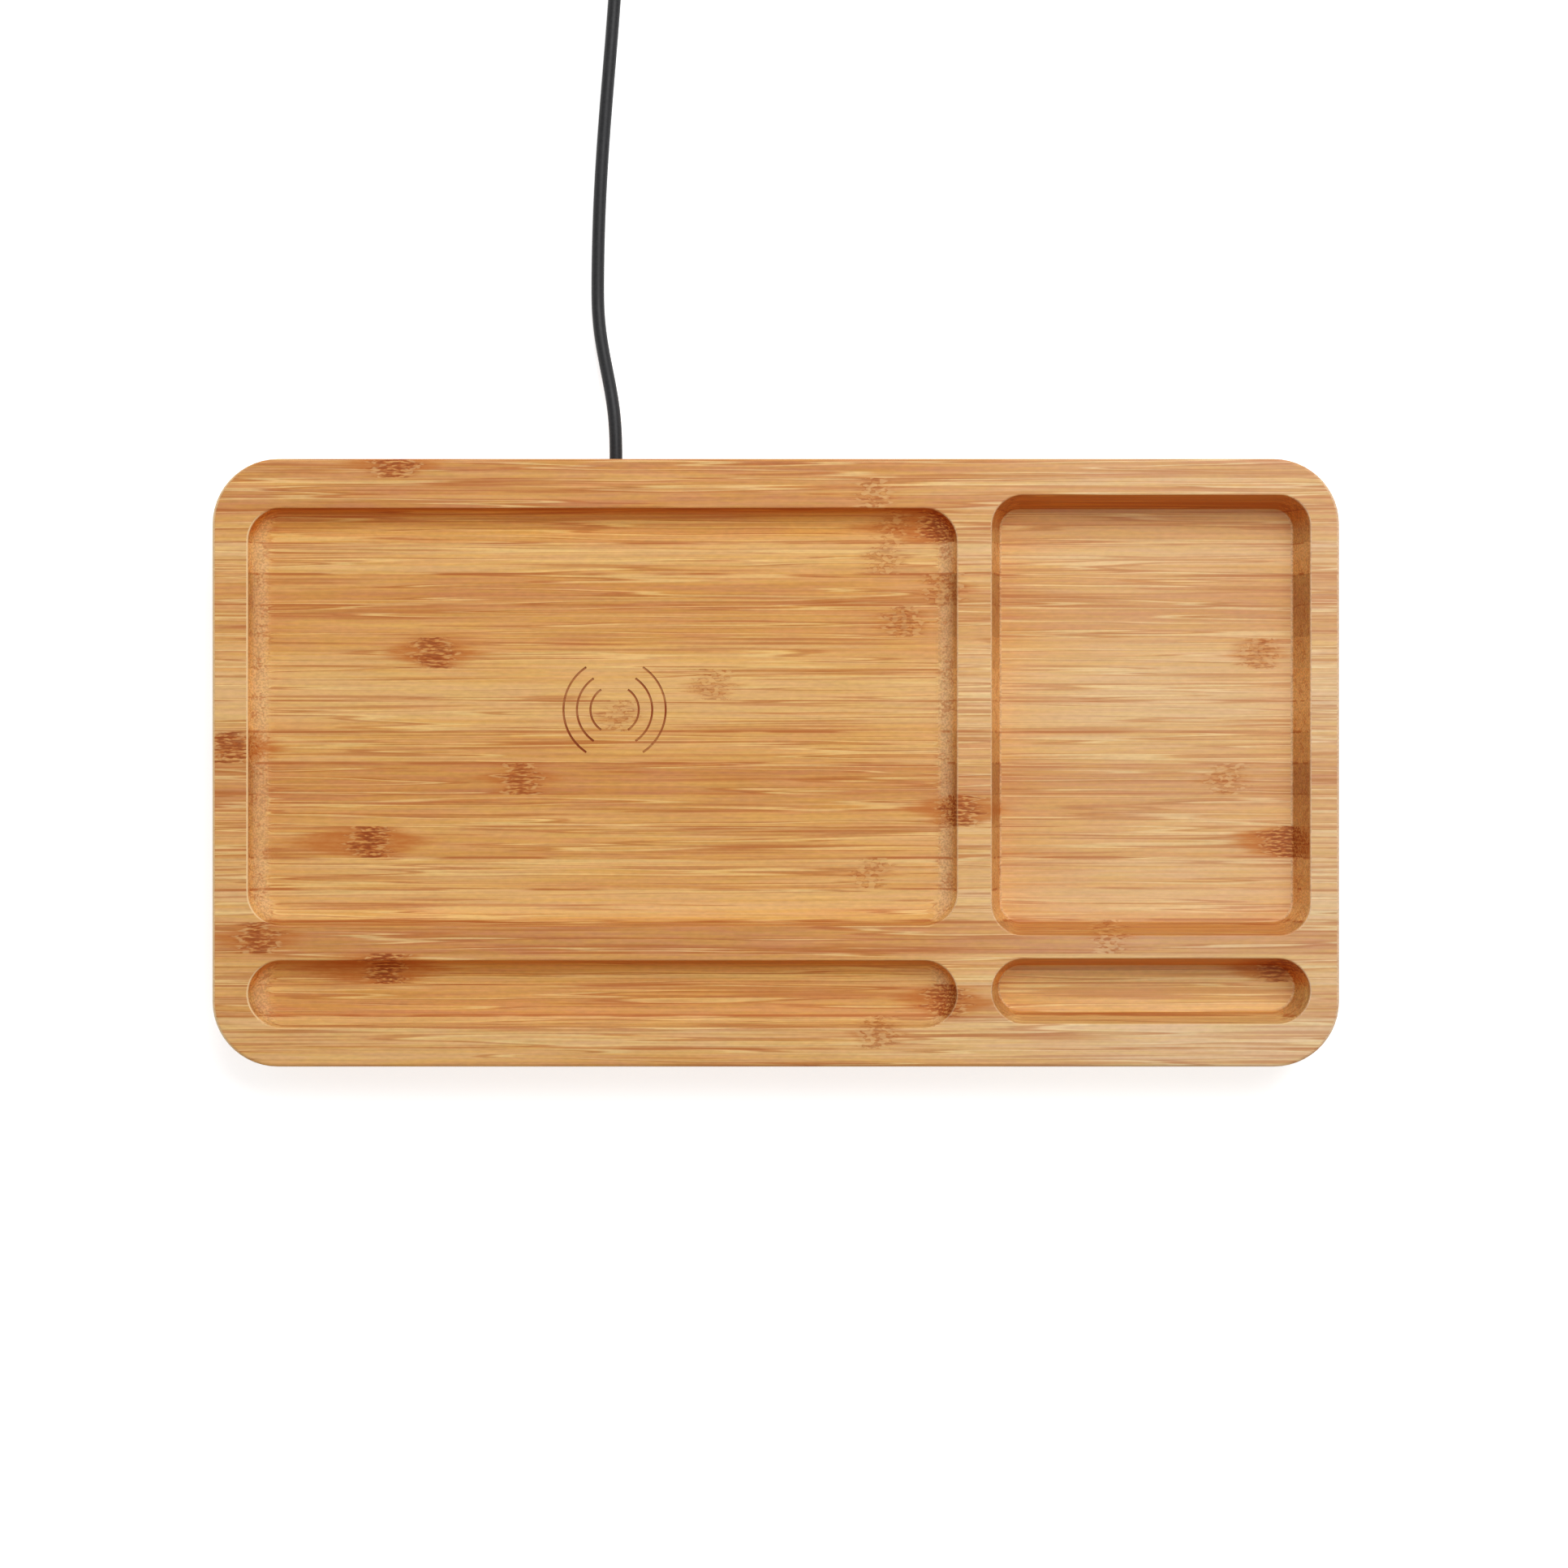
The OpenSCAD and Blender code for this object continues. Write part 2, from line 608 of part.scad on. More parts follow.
solder_places = [[tail_pad_x, coil_y], [tail_pad_x, outer_tail_y],
                 [core_pad_x, core_pad_y], [core_pad_x + core_pad_step, core_pad_y]];

// A chip with a row of legs along two or four sides
module chip(l, w, h, legs, four_sides) {
    leg_w = w / (2.2 * legs);
    leg_t = h / 5;
    translate([-l / 2, -w / 2, 0]) cube([l, w, h]);
    for (turn = four_sides ? [0, 90, 180, 270] : [0, 180]) rotate([0, 0, turn])
        for (i = [0 : legs - 1])
            translate([l / 2 - leg_t, (i - (legs - 1) / 2) * w / (legs + 1) - leg_w / 2, 0])
                cube([leg_t + leg_w, leg_w, leg_t]);
}

chip_l = 7;
chip_h = 0.9;
chip_legs = 8;
module controller_chip() {
    color("#2b2b2e") at([board_x, board_y - board_w / 12], board_top_z)
        chip(chip_l, chip_l, chip_h, chip_legs, true);
}

fet_l = 3.4;
fet_h = 1;
fet_legs = 4;
module bridge_transistors() {
    color("#303034") for (i = [0 : 3])
        at([board_x - board_l / 4 + i * (fet_l + fet_h), board_y - board_w / 3.2], board_top_z)
            rotate([0, 0, 90]) chip(fet_l, fet_l, fet_h, fet_legs, false);
}

film_l = 3.6;
film_w = 5;
film_h = 2.6;
module resonant_capacitors() {
    color("#b98a55") for (i = [0 : 3])
        at([board_x - board_l / 4 + i * (film_l + fet_h), board_y - board_w / 2 + film_w], board_top_z)
            translate([-film_l / 2, -film_w / 2, 0]) cube([film_l, film_w, film_h]);
}

can_d = 6.3;
can_h = 3.6;
can_base_h = 0.6;
module input_capacitor() {
    color("#c9ccd0") at([board_x + board_l / 4, board_y + board_w / 3.4], board_top_z) {
        translate([-can_d / 2, -can_d / 2, 0]) cube([can_d, can_d, can_base_h]);
        cylinder(h = can_h, d = can_d);
    }
}

choke_l = 6.6;
choke_h = 3;
choke_r = 1.5;
module filter_inductor() {
    color("#4a4b4f") at([board_x + board_l / 4, board_y + board_w / 8], board_top_z)
        round_block(choke_l, choke_l, choke_h, choke_r);
}

passive_l = 1.6;
passive_w = 0.8;
passive_h = 0.5;
module small_passives() {
    color("#8d7b66") for (i = [0 : 4]) for (j = [0 : 2])
        at([board_x - board_l / 3 + i * 2 * passive_l, board_y + board_w / 8 + j * 3 * passive_w],
           board_top_z)
            translate([-passive_l / 2, -passive_w / 2, 0]) cube([passive_l, passive_w, passive_h]);
}

module pan_screw(head_d, head_t, d, l) {
    difference() {
        union() {
            translate([0, 0, -l]) cylinder(h = l, d = d);
            cylinder(h = head_t, d = head_d);
        }
        translate([0, 0, head_t]) mirror([0, 0, 1]) cross_slot(head_d * 0.7);
    }
}

module board_screws() {
    color("silver") for (p = board_places) at(p, board_top_z)
        pan_screw(board_head_d, board_head_t, board_screw_d, board_t + board_post_h - slack);
}

module cable_clamp() {
    color("#2f2f33") difference() {
        translate([clamp_x, lane_y, lead_z + clamp_split])
            round_block(clamp_l, clamp_w, clamp_t, edge_r);
        translate([clamp_x - clamp_l, lane_y, lead_z]) rotate([0, 90, 0])
            cylinder(h = 2 * clamp_l, d = lead_d);
        for (s = [-1, 1]) at([clamp_x, lane_y + s * clamp_screw_place], lead_z)
            cylinder(h = clamp_t + over, d = clamp_screw_d);
    }
}

module clamp_screws() {
    head_z = lead_z + clamp_split + clamp_t;
    color("silver") for (s = [-1, 1]) at([clamp_x, lane_y + s * clamp_screw_place], head_z)
        pan_screw(2 * clamp_screw_d, ceiling_z - head_z - slack, clamp_screw_d, head_z - cover_top_z - slack);
}

// Rubber bush in the rear edge that the lead passes through
module grommet() {
    color("#1b1b1d") translate([coil_x, tray_w / 2, lead_z]) rotate([-90, 0, 0]) difference() {
        union() {
            translate([0, 0, -grommet_l]) cylinder(h = grommet_l, d = grommet_d);
            rotate_extrude() polygon(concat([[0, 0], [flange_d / 2, 0]],
                [for (i = [0 : arc_steps]) let (a = 90 * i / arc_steps)
                    [flange_d / 2 - flange_t + flange_t * cos(a), flange_t * sin(a)]],
                [[0, flange_t]]));
        }
        translate([0, 0, -grommet_l - over]) cylinder(h = grommet_l + flange_t + 2 * over, d = lead_d);
    }
}

// The lead from the grommet's face to where its jacket ends behind the clamp
module lead_inner() {
    bend_y = lane_y + lead_bend_r;
    color("#1d1d1f") {
        translate([coil_x, bend_y, lead_z]) rotate([-90, 0, 0])
            cylinder(h = exit_y - bend_y, d = lead_d);
        translate([coil_x + lead_bend_r, bend_y, lead_z]) rotate([0, 0, 180])
            rotate_extrude(angle = 90) translate([lead_bend_r, 0]) circle(d = lead_d);
        translate([coil_x + lead_bend_r, lane_y, lead_z]) rotate([0, 90, 0])
            cylinder(h = jacket_end_x - coil_x - lead_bend_r, d = lead_d);
    }
}

// One insulated core, from the end of the jacket to its solder pad
module core(side, pad_x) {
    start = [jacket_end_x, lane_y + side * core_d * 0.6, lead_z];
    reach = (pad_x - jacket_end_x) / 2;
    lift = 3 * core_d;
    tube(concat([start], curve(start + [core_d, 0, 0], start + [reach + core_d, 0, 0],
                               [pad_x, core_pad_y, pad_z + lift], [pad_x, core_pad_y, pad_z + core_d], 10),
                [[pad_x, core_pad_y, pad_z]]), core_d / 2, 8, [0, 1, 0]);
}

module red_core() {
    color("#a02a24") core(1, core_pad_x + core_pad_step);
}

module black_core() {
    color("#222224") core(-1, core_pad_x);
}

module lead() {
    color("#1d1d1f") tube(lead_points, lead_d / 2, 8, [1, 0, 0]);
}

module lead_coil() {
    color("#1d1d1f") tube(stored_points, lead_d / 2, 6, [1, 0, 0]);
}

module lead_tail() {
    color("#1d1d1f") tube(tail_points, lead_d / 2, 8, [0, 1, 0]);
}

// Band round the bundle of stored loops
module cable_tie() {
    bundle_l = tie_outer_r - tie_inner_r;
    bundle_h = stored_layer + lead_d + slack;
    middle_r = (tie_outer_r + tie_inner_r) / 2;
    color("#19191b") translate([stored_x, stored_y, tie_t + bundle_h / 2])
        rotate([0, 0, 180 - 360 * tie_turn_share]) translate([middle_r, 0, 0]) rotate([90, 0, 0])
            translate([0, 0, -tie_w / 2]) difference() {
                round_block(bundle_l + 2 * tie_t, bundle_h + 2 * tie_t, tie_w, 2 * tie_t);
                translate([0, 0, -over]) round_block(bundle_l, bundle_h, tie_w + 2 * over, tie_t);
            }
}

// Grip of the plug with a waist, and the ribbed taper that the lead enters
module plug_body() {
    grip_x = plug_x + taper_l;
    color("#1b1b1d") {
        difference() {
            translate([grip_x, plug_y, plug_z]) rotate([90, 0, 90])
                round_block(grip_w, grip_t, grip_l, grip_r);
            for (s = [-1, 1]) translate([grip_x + grip_l * 0.3, plug_y + s * grip_w / 2, 0])
                translate([0, -grip_inset, -over]) cube([grip_l * 0.45, 2 * grip_inset, grip_t + 2 * over]);
            translate([grip_x + grip_l - shell_l / 2, plug_y, plug_z]) rotate([90, 0, 90])
                round_block(shell_w, shell_t, shell_l, shell_wall);
        }
        translate([plug_x, plug_y, plug_z]) rotate([0, 90, 0])
            cylinder(h = taper_l, d1 = taper_end_d, d2 = taper_root_d);
        for (i = [1 : taper_ribs]) let (share = i / (taper_ribs + 1))
            translate([plug_x + share * taper_l, plug_y, plug_z]) rotate([0, 90, 0])
                cylinder(h = edge_r, d = taper_end_d + share * (taper_root_d - taper_end_d) + 2 * grip_inset);
    }
}

module plug_shell() {
    start_x = plug_x + taper_l + grip_l - shell_l / 2;
    color("silver") translate([start_x, plug_y, plug_z]) rotate([90, 0, 90]) difference() {
        round_block(shell_w, shell_t, shell_l * 1.5, shell_wall);
        translate([0, 0, shell_wall])
            round_block(shell_w - 2 * shell_wall, shell_t - 2 * shell_wall, shell_l * 1.5, shell_wall / 2);
        for (s = [-1, 1]) translate([s * shell_w / 5, shell_t / 2, shell_l])
            translate([-shell_w / 12, -shell_t / 4, 0]) cube([shell_w / 6, shell_t / 2, shell_w / 6]);
    }
}

module plug_tongue() {
    start_x = plug_x + taper_l + grip_l - shell_l / 2 + shell_wall;
    tongue_w = shell_w - 2 * shell_wall;
    color("#e9e9e6") translate([start_x, plug_y - tongue_w / 2, plug_z - shell_t / 2 + shell_wall])
        cube([shell_l * 1.5 - 2 * shell_wall, tongue_w, tongue_t]);
}

module plug_contacts() {
    front_x = plug_x + taper_l + grip_l + shell_l - shell_wall - edge_r;
    color("#d4af5a") for (i = [0 : len(contact_place_share) - 1])
        translate([front_x - contact_l, plug_y + (contact_place_share[i] - contact_w_share[i]) * shell_w * 0.9,
                   plug_z - shell_t / 2 + shell_wall + tongue_t])
            cube([contact_l, 2 * contact_w_share[i] * shell_w * 0.9, contact_t]);
}

bamboo_tray();
bottom_cover();
cover_screws();
foot(foot_places[0]);  // foot_front_left
foot(foot_places[1]);  // foot_front_right
foot(foot_places[2]);  // foot_rear_left
foot(foot_places[3]);  // foot_rear_right
transmitter_coil();
coil_tape();
ferrite_shield();
foam_pad();
circuit_board();
controller_chip();
bridge_transistors();
resonant_capacitors();
input_capacitor();
filter_inductor();
small_passives();
board_screws();
cable_clamp();
clamp_screws();
grommet();
lead_inner();
red_core();
black_core();
lead();
lead_coil();
lead_tail();
cable_tie();
plug_body();
plug_shell();
plug_tongue();
plug_contacts();
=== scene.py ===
"""Looks of a bamboo desk tray with a wireless charger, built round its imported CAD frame."""

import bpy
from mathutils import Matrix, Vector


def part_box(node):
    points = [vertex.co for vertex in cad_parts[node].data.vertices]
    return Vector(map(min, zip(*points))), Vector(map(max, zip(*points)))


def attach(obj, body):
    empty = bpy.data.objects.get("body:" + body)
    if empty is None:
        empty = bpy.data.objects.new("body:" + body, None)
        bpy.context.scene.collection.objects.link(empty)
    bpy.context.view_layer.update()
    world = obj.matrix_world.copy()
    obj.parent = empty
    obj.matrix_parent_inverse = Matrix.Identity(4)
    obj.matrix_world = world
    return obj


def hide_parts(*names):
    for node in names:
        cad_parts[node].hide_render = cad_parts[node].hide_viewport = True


bl_info = {
    "name": "Wireless Charging Tray",
    "version": (1, 0, 0),
    "blender": (4, 5, 0),
    "location": "3D View > Sidebar > Tray",
    "description": "Dresses the charging tray with its bamboo, lead, plug, charger and stage",
    "category": "Object",
}

import math

import bmesh
import bpy
from bpy.props import FloatProperty, FloatVectorProperty, PointerProperty
from bpy.types import Operator, Panel, PropertyGroup
from mathutils import Matrix, Vector

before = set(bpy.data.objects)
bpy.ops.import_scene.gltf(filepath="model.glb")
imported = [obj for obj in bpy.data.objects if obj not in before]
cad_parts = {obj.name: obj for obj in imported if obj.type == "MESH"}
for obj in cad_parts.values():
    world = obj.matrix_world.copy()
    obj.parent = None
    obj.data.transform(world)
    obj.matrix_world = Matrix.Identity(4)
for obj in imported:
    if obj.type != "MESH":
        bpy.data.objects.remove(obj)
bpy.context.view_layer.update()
MM = 0.001


# -------- helpers: colour and shader nodes

def colour(red, green, blue):
    """A colour given in sRGB from 0 to 255, as the linear values that a socket takes."""
    def linear(value):
        value /= 255
        return value / 12.92 if value <= 0.04045 else ((value + 0.055) / 1.055) ** 2.4
    return (linear(red), linear(green), linear(blue), 1.0)


class Nodes:
    """Adds nodes to a shader tree. A socket as a value is linked, anything else is set."""

    def __init__(self, tree):
        self.tree = tree

    def put(self, socket, value):
        if isinstance(value, bpy.types.NodeSocket):
            self.tree.links.new(value, socket)
        else:
            socket.default_value = value

    def add(self, kind, inputs=None, **settings):
        node = self.tree.nodes.new("ShaderNode" + kind)
        for name, value in settings.items():
            setattr(node, name, value)
        for name, value in (inputs or {}).items():
            self.put(node.inputs[name], value)
        return node

    def combine(self, node, values):
        """Puts the values on a node's first sockets and returns its outputs."""
        for socket, value in zip(node.inputs, values):
            self.put(socket, value)
        return node.outputs

    def math(self, operation, *values):
        return self.combine(self.add("Math", operation=operation), values)[0]

    def plus(self, first, second):
        return self.math("ADD", first, second)

    def minus(self, first, second):
        return self.math("SUBTRACT", first, second)

    def times(self, product=1.0, *others):
        for other in others:
            product = self.math("MULTIPLY", product, other)
        return product

    def apart(self, first, second):
        """How far apart two values are."""
        return self.math("ABSOLUTE", self.minus(first, second))

    def swing(self, value, middle, gain):
        """How far a value is off its middle, times a gain."""
        return self.times(self.minus(value, middle), gain)

    def within(self, value, limit):
        """One where a value is nearer to zero than the limit, else zero."""
        return self.math("LESS_THAN", self.math("ABSOLUTE", value), limit)

    def vector(self, operation, *values):
        outputs = self.combine(self.add("VectorMath", operation=operation), values)
        return outputs["Value" if operation == "LENGTH" else "Vector"]

    def join(self, x, y, z):
        return self.combine(self.add("CombineXYZ"), (x, y, z))[0]

    def split(self, vector):
        return self.add("SeparateXYZ", {"Vector": vector}).outputs

    def mix(self, factor, first, second, blend="MIX"):
        node = self.add("Mix", data_type="RGBA", blend_type=blend)
        for index, value in ((0, factor), (6, first), (7, second)):
            self.put(node.inputs[index], value)
        return node.outputs[2]

    def paint(self, base, over, *masks):
        """Lays a colour over another one, as far as the masks say together."""
        return self.mix(self.times(*masks), base, over)

    def tint(self, base, over, *masks):
        """Multiplies a colour by another one, as far as the masks say together."""
        return self.mix(self.times(*masks), base, over, "MULTIPLY")

    def mix_value(self, factor, first, second):
        return self.add("Mix", {0: factor, 2: first, 3: second}, data_type="FLOAT").outputs[0]

    def noise(self, vector, scale=1.0, detail=2.0, roughness=0.5):
        return self.add("TexNoise", {"Vector": vector, "Scale": scale, "Detail": detail,
                                     "Roughness": roughness}).outputs["Fac"]

    def grain(self, place, along, across, **settings):
        """Noise whose grains are so long along X and so wide across it."""
        return self.noise(self.vector("DIVIDE", place, (along, across, across)), **settings)

    def spread(self, value, low, high, to_low=0.0, to_high=1.0):
        """Maps low..high to to_low..to_high with soft ends."""
        return self.add("MapRange", {"Value": value, "From Min": low, "From Max": high, "To Min": to_low,
                                     "To Max": to_high}, interpolation_type="SMOOTHSTEP").outputs[0]

    def ramp(self, value, stops, interpolation="LINEAR"):
        node = self.add("ValToRGB", {"Fac": value})
        node.color_ramp.interpolation = interpolation
        elements = node.color_ramp.elements
        elements.remove(elements[1])
        elements[0].position, elements[0].color = stops[0]
        for place, tone in stops[1:]:
            elements.new(place).color = tone
        return node.outputs["Color"]

    def fill(self, sockets, **values):
        """Puts the values on the sockets that are named like the keywords."""
        for name, value in values.items():
            self.put(sockets[name.replace("_", " ").capitalize()], value)

    def group(self, tree, **inputs):
        node = self.tree.nodes.new("ShaderNodeGroup")
        node.node_tree = tree
        self.fill(node.inputs, **inputs)
        return node.outputs

    def millimetres(self):
        """Object coordinates in millimetres."""
        return self.vector("MULTIPLY", self.add("TexCoord").outputs["Object"], (1 / MM,) * 3)


# Kinds of the groups' sockets, where they aren't plain numbers
SOCKET_KINDS = {"Vector": "Vector", "First": "Color", "Second": "Color", "Colour": "Color"}


def node_group(name, inputs, outputs):
    """A new shader group with named sockets, and its input and output nodes."""
    tree = bpy.data.node_groups.new(name, "ShaderNodeTree")
    for direction, labels in (("INPUT", inputs), ("OUTPUT", outputs)):
        for label in labels:
            kind = "NodeSocket" + SOCKET_KINDS.get(label, "Float")
            tree.interface.new_socket(label, in_out=direction, socket_type=kind)
    given = tree.nodes.new("NodeGroupInput").outputs
    result = tree.nodes.new("NodeGroupOutput").inputs
    return tree, Nodes(tree), given, result


def new_material(name):
    """An empty material and its tree's node helper."""
    material = bpy.data.materials.new(name)
    material.use_nodes = True
    material.node_tree.nodes.clear()
    return material, Nodes(material.node_tree)


def principled(nodes, **inputs):
    """Ends a material in one Principled shader."""
    shader = nodes.add("BsdfPrincipled", {name.replace("_", " "): value for name, value in inputs.items()})
    nodes.add("OutputMaterial", {"Surface": shader.outputs[0]})


def bump(nodes, height, distance, strength):
    """The normal over a relief, its distance in metres."""
    return nodes.add("Bump", {"Height": height, "Distance": distance, "Strength": strength}).outputs[0]


# -------- bamboo

STRIP_W = 6.78
STRIP_START = -67.9
# How light each strip is, from the front edge to the rear edge, and what most are
STRIP_TONES = (
    0.66, 0.90, 0.46, 0.66, 0.15, 0.88, 0.74, 0.58, 0.45, 0.20,
    0.62, 0.92, 0.95, 0.70, 0.42, 0.36, 0.84, 0.50, 0.34, 0.10,
)
USUAL_TONE = 0.6
# Knots: place along X and Y in millimetres, and how dark each is
KNOTS = (
    (-81.8, 62.8, 0.80), (-73.6, 23.8, 0.80), (-116.5, 3.5, 0.85), (39.6, -10.4, 0.85),
    (-87.0, -16.8, 0.95), (-110.6, -37.8, 0.75), (-84.0, -44.2, 1.00), (36.5, -49.4, 0.80),
    (21.4, 58.1, 0.42), (24.9, 50.3, 0.32), (23.4, 43.4, 0.36), (27.6, 29.5, 0.54),
    (-13.8, 16.5, 0.42), (-34.1, 11.3, 0.36), (-54.6, -3.1, 0.66), (98.0, -3.5, 0.42),
    (104.6, 23.4, 0.54), (20.6, -24.8, 0.40), (71.6, -38.2, 0.44), (22.3, -59.8, 0.44),
    (36.4, 37.0, 0.50),
)
# Knots that lie deeper than the rim, so only the pockets lay them open
DEEP_KNOTS = ((35.0, 51.0, 0.95), (110.0, -16.5, 0.90), (109.0, -44.2, 0.90))
FAR_OFF = 1000.0
# Tints of the wood's red, green and blue: painted shade along the rear walls, painted light in the slot,
# sanding of the top, and painted light on the right end
REAR_SHADE_TINT = (1.05, 0.96, 0.80, 1.0)
SLOT_LIGHT_TINT = (1.21, 1.37, 1.36, 1.0)
SANDED = (1.01, 1.05, 1.17, 1.0)
RIGHT_END_LIGHT = (1.03, 1.18, 1.57, 1.0)
# All pockets lie within these, and the two right ones beyond RIGHT_POCKETS_X
POCKETS_X = 117.0
POCKETS_Y = 62.0
RIGHT_POCKETS_X = 42.0
SLOT_Y = -54.0
SLOT_REACH_Y = 9.0
SLOT_RIM_Z = 18.0
PHONE_FLOOR_Z = 14.15
# Between the pockets' rims and the top face
BELOW_TOP_Z = 18.8
# The mark's pairs of arcs
MARK_CENTRE = (-34.7, 11.4)
MARK_R = 5.2
MARK_STEP = 2.9
MARK_PAIRS = 3
MARK_HALF_LINE = 0.22
MARK_HALF_ANGLE = math.radians(56.5)


def strips_group():
    """Index of the glued strip at a place, how far across it the place is, and the glue line."""
    tree, nodes, given, result = node_group(
        "Glued strips", ("Vector", "Strip width", "Start"), ("Index", "Across", "Glue line", "Random"))
    y = nodes.split(given["Vector"])["Y"]
    place = nodes.math("DIVIDE", nodes.minus(y, given["Start"]), given["Strip width"])
    index = nodes.math("FLOOR", place)
    across = nodes.minus(place, index)
    edge = nodes.math("MINIMUM", across, nodes.minus(1.0, across))
    random = nodes.add("TexWhiteNoise", {"W": nodes.plus(index, 0.5)}, noise_dimensions="1D")
    nodes.fill(result, index=index, across=across, random=random.outputs["Value"],
               glue_line=nodes.spread(edge, 0.02, 0.06, 1.0, 0.0))
    return tree


def fibres_group():
    """Bamboo fibres along X: streaks, fine fibres, dark bundles, thin veins and pale lines."""
    tree, nodes, given, result = node_group(
        "Bamboo fibres", ("Vector", "Index"), ("Streaks", "Fibres", "Bundles", "Veins", "Pale", "Hue"))
    place = nodes.vector("ADD", given["Vector"], nodes.join(
        nodes.times(given["Index"], 173.0), 0.0, nodes.times(given["Index"], 31.0)))
    fibres = nodes.plus(nodes.times(nodes.grain(place, 1.9, 0.55), 0.5),
                        nodes.times(nodes.grain(place, 26.0, 0.55, detail=1.0), 0.5))
    bundles = nodes.times(nodes.grain(place, 40.0, 0.55, detail=1.0),
                          nodes.grain(place, 90.0, 3.0, detail=1.0))
    hue = nodes.grain(place, 14.0, 1.0, detail=3.0, roughness=0.65)
    # Each vein has a pale line beside it, on another level of the same slow noise
    level = nodes.grain(place, 110.0, 2.0)
    veins, pale = (nodes.spread(nodes.apart(level, middle), 0.006, 0.024, 1.0, 0.0) for middle in (0.5, 0.54))
    nodes.fill(result, streaks=nodes.grain(place, 95.0, 1.3, detail=4.0, roughness=0.7), fibres=fibres,
               bundles=nodes.spread(bundles, 0.29, 0.40), veins=veins, pale=pale,
               hue=nodes.spread(hue, 0.35, 0.65))
    return tree


def knot_group():
    """Adds one knot to the stain and core masks, within its own strip, and keeps how far off it is."""
    masks = ("Stain", "Core", "Away")
    tree, nodes, given, result = node_group(
        "Bamboo knot", ("X", "Off middle", "Index", "Knot x", "Knot index", "Dark", *masks), masks)
    offset = nodes.minus(given["X"], given["Knot x"])
    away = nodes.math("ABSOLUTE", offset)
    # The darkest stains trail off to the left
    trail = nodes.math("MAXIMUM", offset, nodes.times(
        offset, nodes.spread(given["Dark"], 0.90, 0.95, -1.0, -0.7)))
    same = nodes.math("COMPARE", given["Index"], given["Knot index"], 0.5)
    held = nodes.times(same, given["Dark"])
    stained = nodes.plus(2.0, nodes.times(given["Dark"], 19.0))
    for name, far, length, taper in (("Stain", trail, stained, 0.9), ("Core", away, 6.4, 0.35)):
        reach = nodes.plus(nodes.math("DIVIDE", far, length), nodes.times(given["Off middle"], taper))
        mask = nodes.times(nodes.spread(reach, 0.2, 1.0, 1.0, 0.0), held)
        nodes.put(result[name], nodes.math("MAXIMUM", mask, given[name]))
    off = nodes.plus(away, nodes.times(nodes.minus(1.0, same), FAR_OFF))
    nodes.fill(result, away=nodes.math("MINIMUM", off, given["Away"]))
    return tree


def mark_group():
    """Mask of the pairs of arcs burnt round the charging spot."""
    tree, nodes, given, result = node_group("Charging mark", ("Vector", "Radius", "Step"), ("Mask",))
    flat = nodes.vector("MULTIPLY", nodes.vector("SUBTRACT", given["Vector"], (*MARK_CENTRE, 0.0)),
                        (1.0, 1.0, 0.0))
    radius = nodes.vector("LENGTH", flat)
    turn = nodes.math("DIVIDE", nodes.minus(radius, given["Radius"]), given["Step"])
    ring = nodes.math("ROUND", turn)
    line = nodes.math("LESS_THAN", nodes.times(nodes.apart(turn, ring), given["Step"]), MARK_HALF_LINE)
    is_ring = nodes.math("COMPARE", ring, (MARK_PAIRS - 1) / 2, MARK_PAIRS / 2)
    slope = nodes.math("DIVIDE", nodes.math("ABSOLUTE", nodes.split(flat)["Y"]), radius)
    side = nodes.math("LESS_THAN", slope, math.sin(MARK_HALF_ANGLE))
    nodes.fill(result, mask=nodes.times(line, is_ring, side))
    return tree


